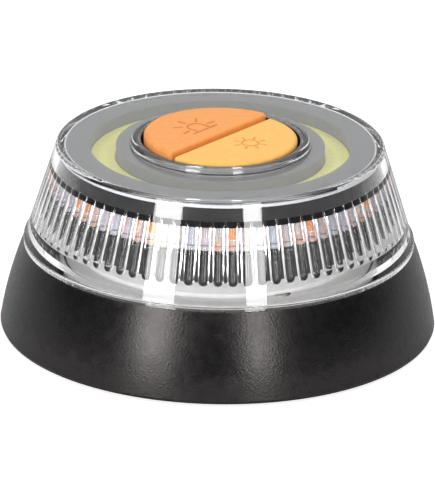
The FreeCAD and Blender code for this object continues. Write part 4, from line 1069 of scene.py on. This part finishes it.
# %% Coil
WIRE_PITCH, RIM_T, WIRE_R = 0.35 * MM, 1.05 * MM, 3.6 * MM
low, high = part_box("inductor")
middle, half_tall = [(a + b) / 2 for a, b in zip(low, high)], (high[2] - low[2]) / 2
coil, tree, place = finish("ferrite_and_wire", rough=0.5)
parts = split(place)
across = length_of(sum_of("SUBTRACT", parts["X"], middle[0]),
                   sum_of("SUBTRACT", parts["Y"], middle[1]))
wire = times(within(parts["Z"], middle[2], half_tall - RIM_T, CRISP), within(across, 0.0, WIRE_R))
turns = sum_of("SINE", times(parts["Z"], 2 * math.pi / WIRE_PITCH))
ferrite = tint(noise(place, 1500.0, 3.0), (0.035, 0.034, 0.034), (0.06, 0.058, 0.058))
copper = tint(span(turns, -1.0, 1.0), (0.3, 0.1, 0.045), (0.62, 0.25, 0.12))
paint(tree, Base_Color=tint(wire, ferrite, copper), Roughness=span(wire, 0.0, 1.0, 0.7, 0.3),
      Metallic=times(wire, 0.7))
bump(times(turns, wire), 0.5, 0.06 * MM)
dress(coil, "inductor")

# %% Capacitors
SLEEVE_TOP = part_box("capacitors")[1][2] - 0.5 * MM
can, tree, place = finish("sleeved_can", rough=0.3)
upright = split(normal_of(tree))
bare = sum_of("MAXIMUM", span(upright["Z"], 0.6, 0.8),
              above(split(place)["Z"], SLEEVE_TOP, 0.1 * MM))
stripe = span(upright["X"], 0.75, 0.8)
scuffs = noise(place, 900.0, 4.0)
skin = tint(stripe, (0.016, 0.017, 0.03), (0.42, 0.43, 0.45))
skin = tint(span(scuffs, 0.6, 0.75, 0.0, 0.3), skin, (0.1, 0.1, 0.12))
paint(tree, Base_Color=tint(bare, skin, (0.72, 0.73, 0.74)), Metallic=bare,
      Roughness=span(scuffs, 0.3, 0.7, 0.22, 0.42))
dress(can, "capacitors")

# %% Wires
wires, tree, place = finish("wire_insulation", rough=0.4)
spread = split(place)
print_gap = sum_of("SINE", times(spread["Z"], 2 * math.pi / (6 * MM)))
fine = noise(place, 800.0, 2.0)
red = tint(fine, (0.42, 0.02, 0.015), (0.52, 0.03, 0.02))
black = tint(fine, (0.012, 0.012, 0.012), (0.022, 0.022, 0.022))
paint(tree, Base_Color=tint(span(spread["Y"], -0.1 * MM, 0.1 * MM), black, red))
paint(tree, Roughness=span(print_gap, 0.6, 0.9, 0.38, 0.5))
bump(fine, 0.2, 0.02 * MM)
dress(wires, "lead_wires")

# %% Cells
NUB_END, NUB, GOLD, FAR_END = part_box("battery_cells")[1][0], 1.3 * MM, 13.1 * MM, 3.6 * MM
cell, tree, place = finish("cell_sleeve", rough=0.3, Coat_Weight=0.3)
parts = split(place)
row = span(sum_of("ABSOLUTE", parts["Y"]), 5.0 * MM, 6.0 * MM, -1.0, 1.0)
along = times(parts["X"], row)
metal = sum_of("MAXIMUM", above(along, NUB_END - NUB, 0.1 * MM),
               below(along, FAR_END - NUB_END, 0.1 * MM))
gold = above(along, NUB_END - GOLD, 0.1 * MM)
scuffs = noise(place, 350.0, 5.0)
skin = tint(gold, (0.02, 0.021, 0.024), (0.55, 0.33, 0.1))
skin = tint(span(scuffs, 0.62, 0.7, 0.0, 0.4), skin, (0.3, 0.29, 0.27))
paint(tree, Base_Color=tint(metal, skin, (0.68, 0.67, 0.64)),
      Metallic=sum_of("MAXIMUM", metal, times(gold, 0.6)), Roughness=span(scuffs, 0.3, 0.7, 0.24, 0.4))
dress(cell, "battery_cells")

# %% Contacts
contact, tree, place = finish("nickel_contact", (0.64, 0.62, 0.58), 0.28, Metallic=1.0)
lay = drawn_out(place, (3000.0, 3000.0, 200.0), 2.0)
stain = noise(place, 260.0, 4.0)
paint(tree, Base_Color=tint(span(stain, 0.45, 0.75), (0.66, 0.64, 0.6), (0.5, 0.45, 0.37)))
paint(tree, Roughness=span(lay, 0.3, 0.7, 0.2, 0.36))
bump(lay, 0.2, 0.01 * MM)
dress(contact, "contact_springs", "bridge_contacts", "terminal_contacts")

# %% [markdown]
# ## The end
# The last step prints the parts of the frame that have no finish, and the size of the dressed beacon.

# %% Sizes
bare_parts = [name for name, piece in nodes.items() if not piece.material_slots]
print("parts without a finish:", bare_parts)
low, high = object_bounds()
print("size in mm:", [round((high[i] - low[i]) / MM, 2) for i in range(3)])
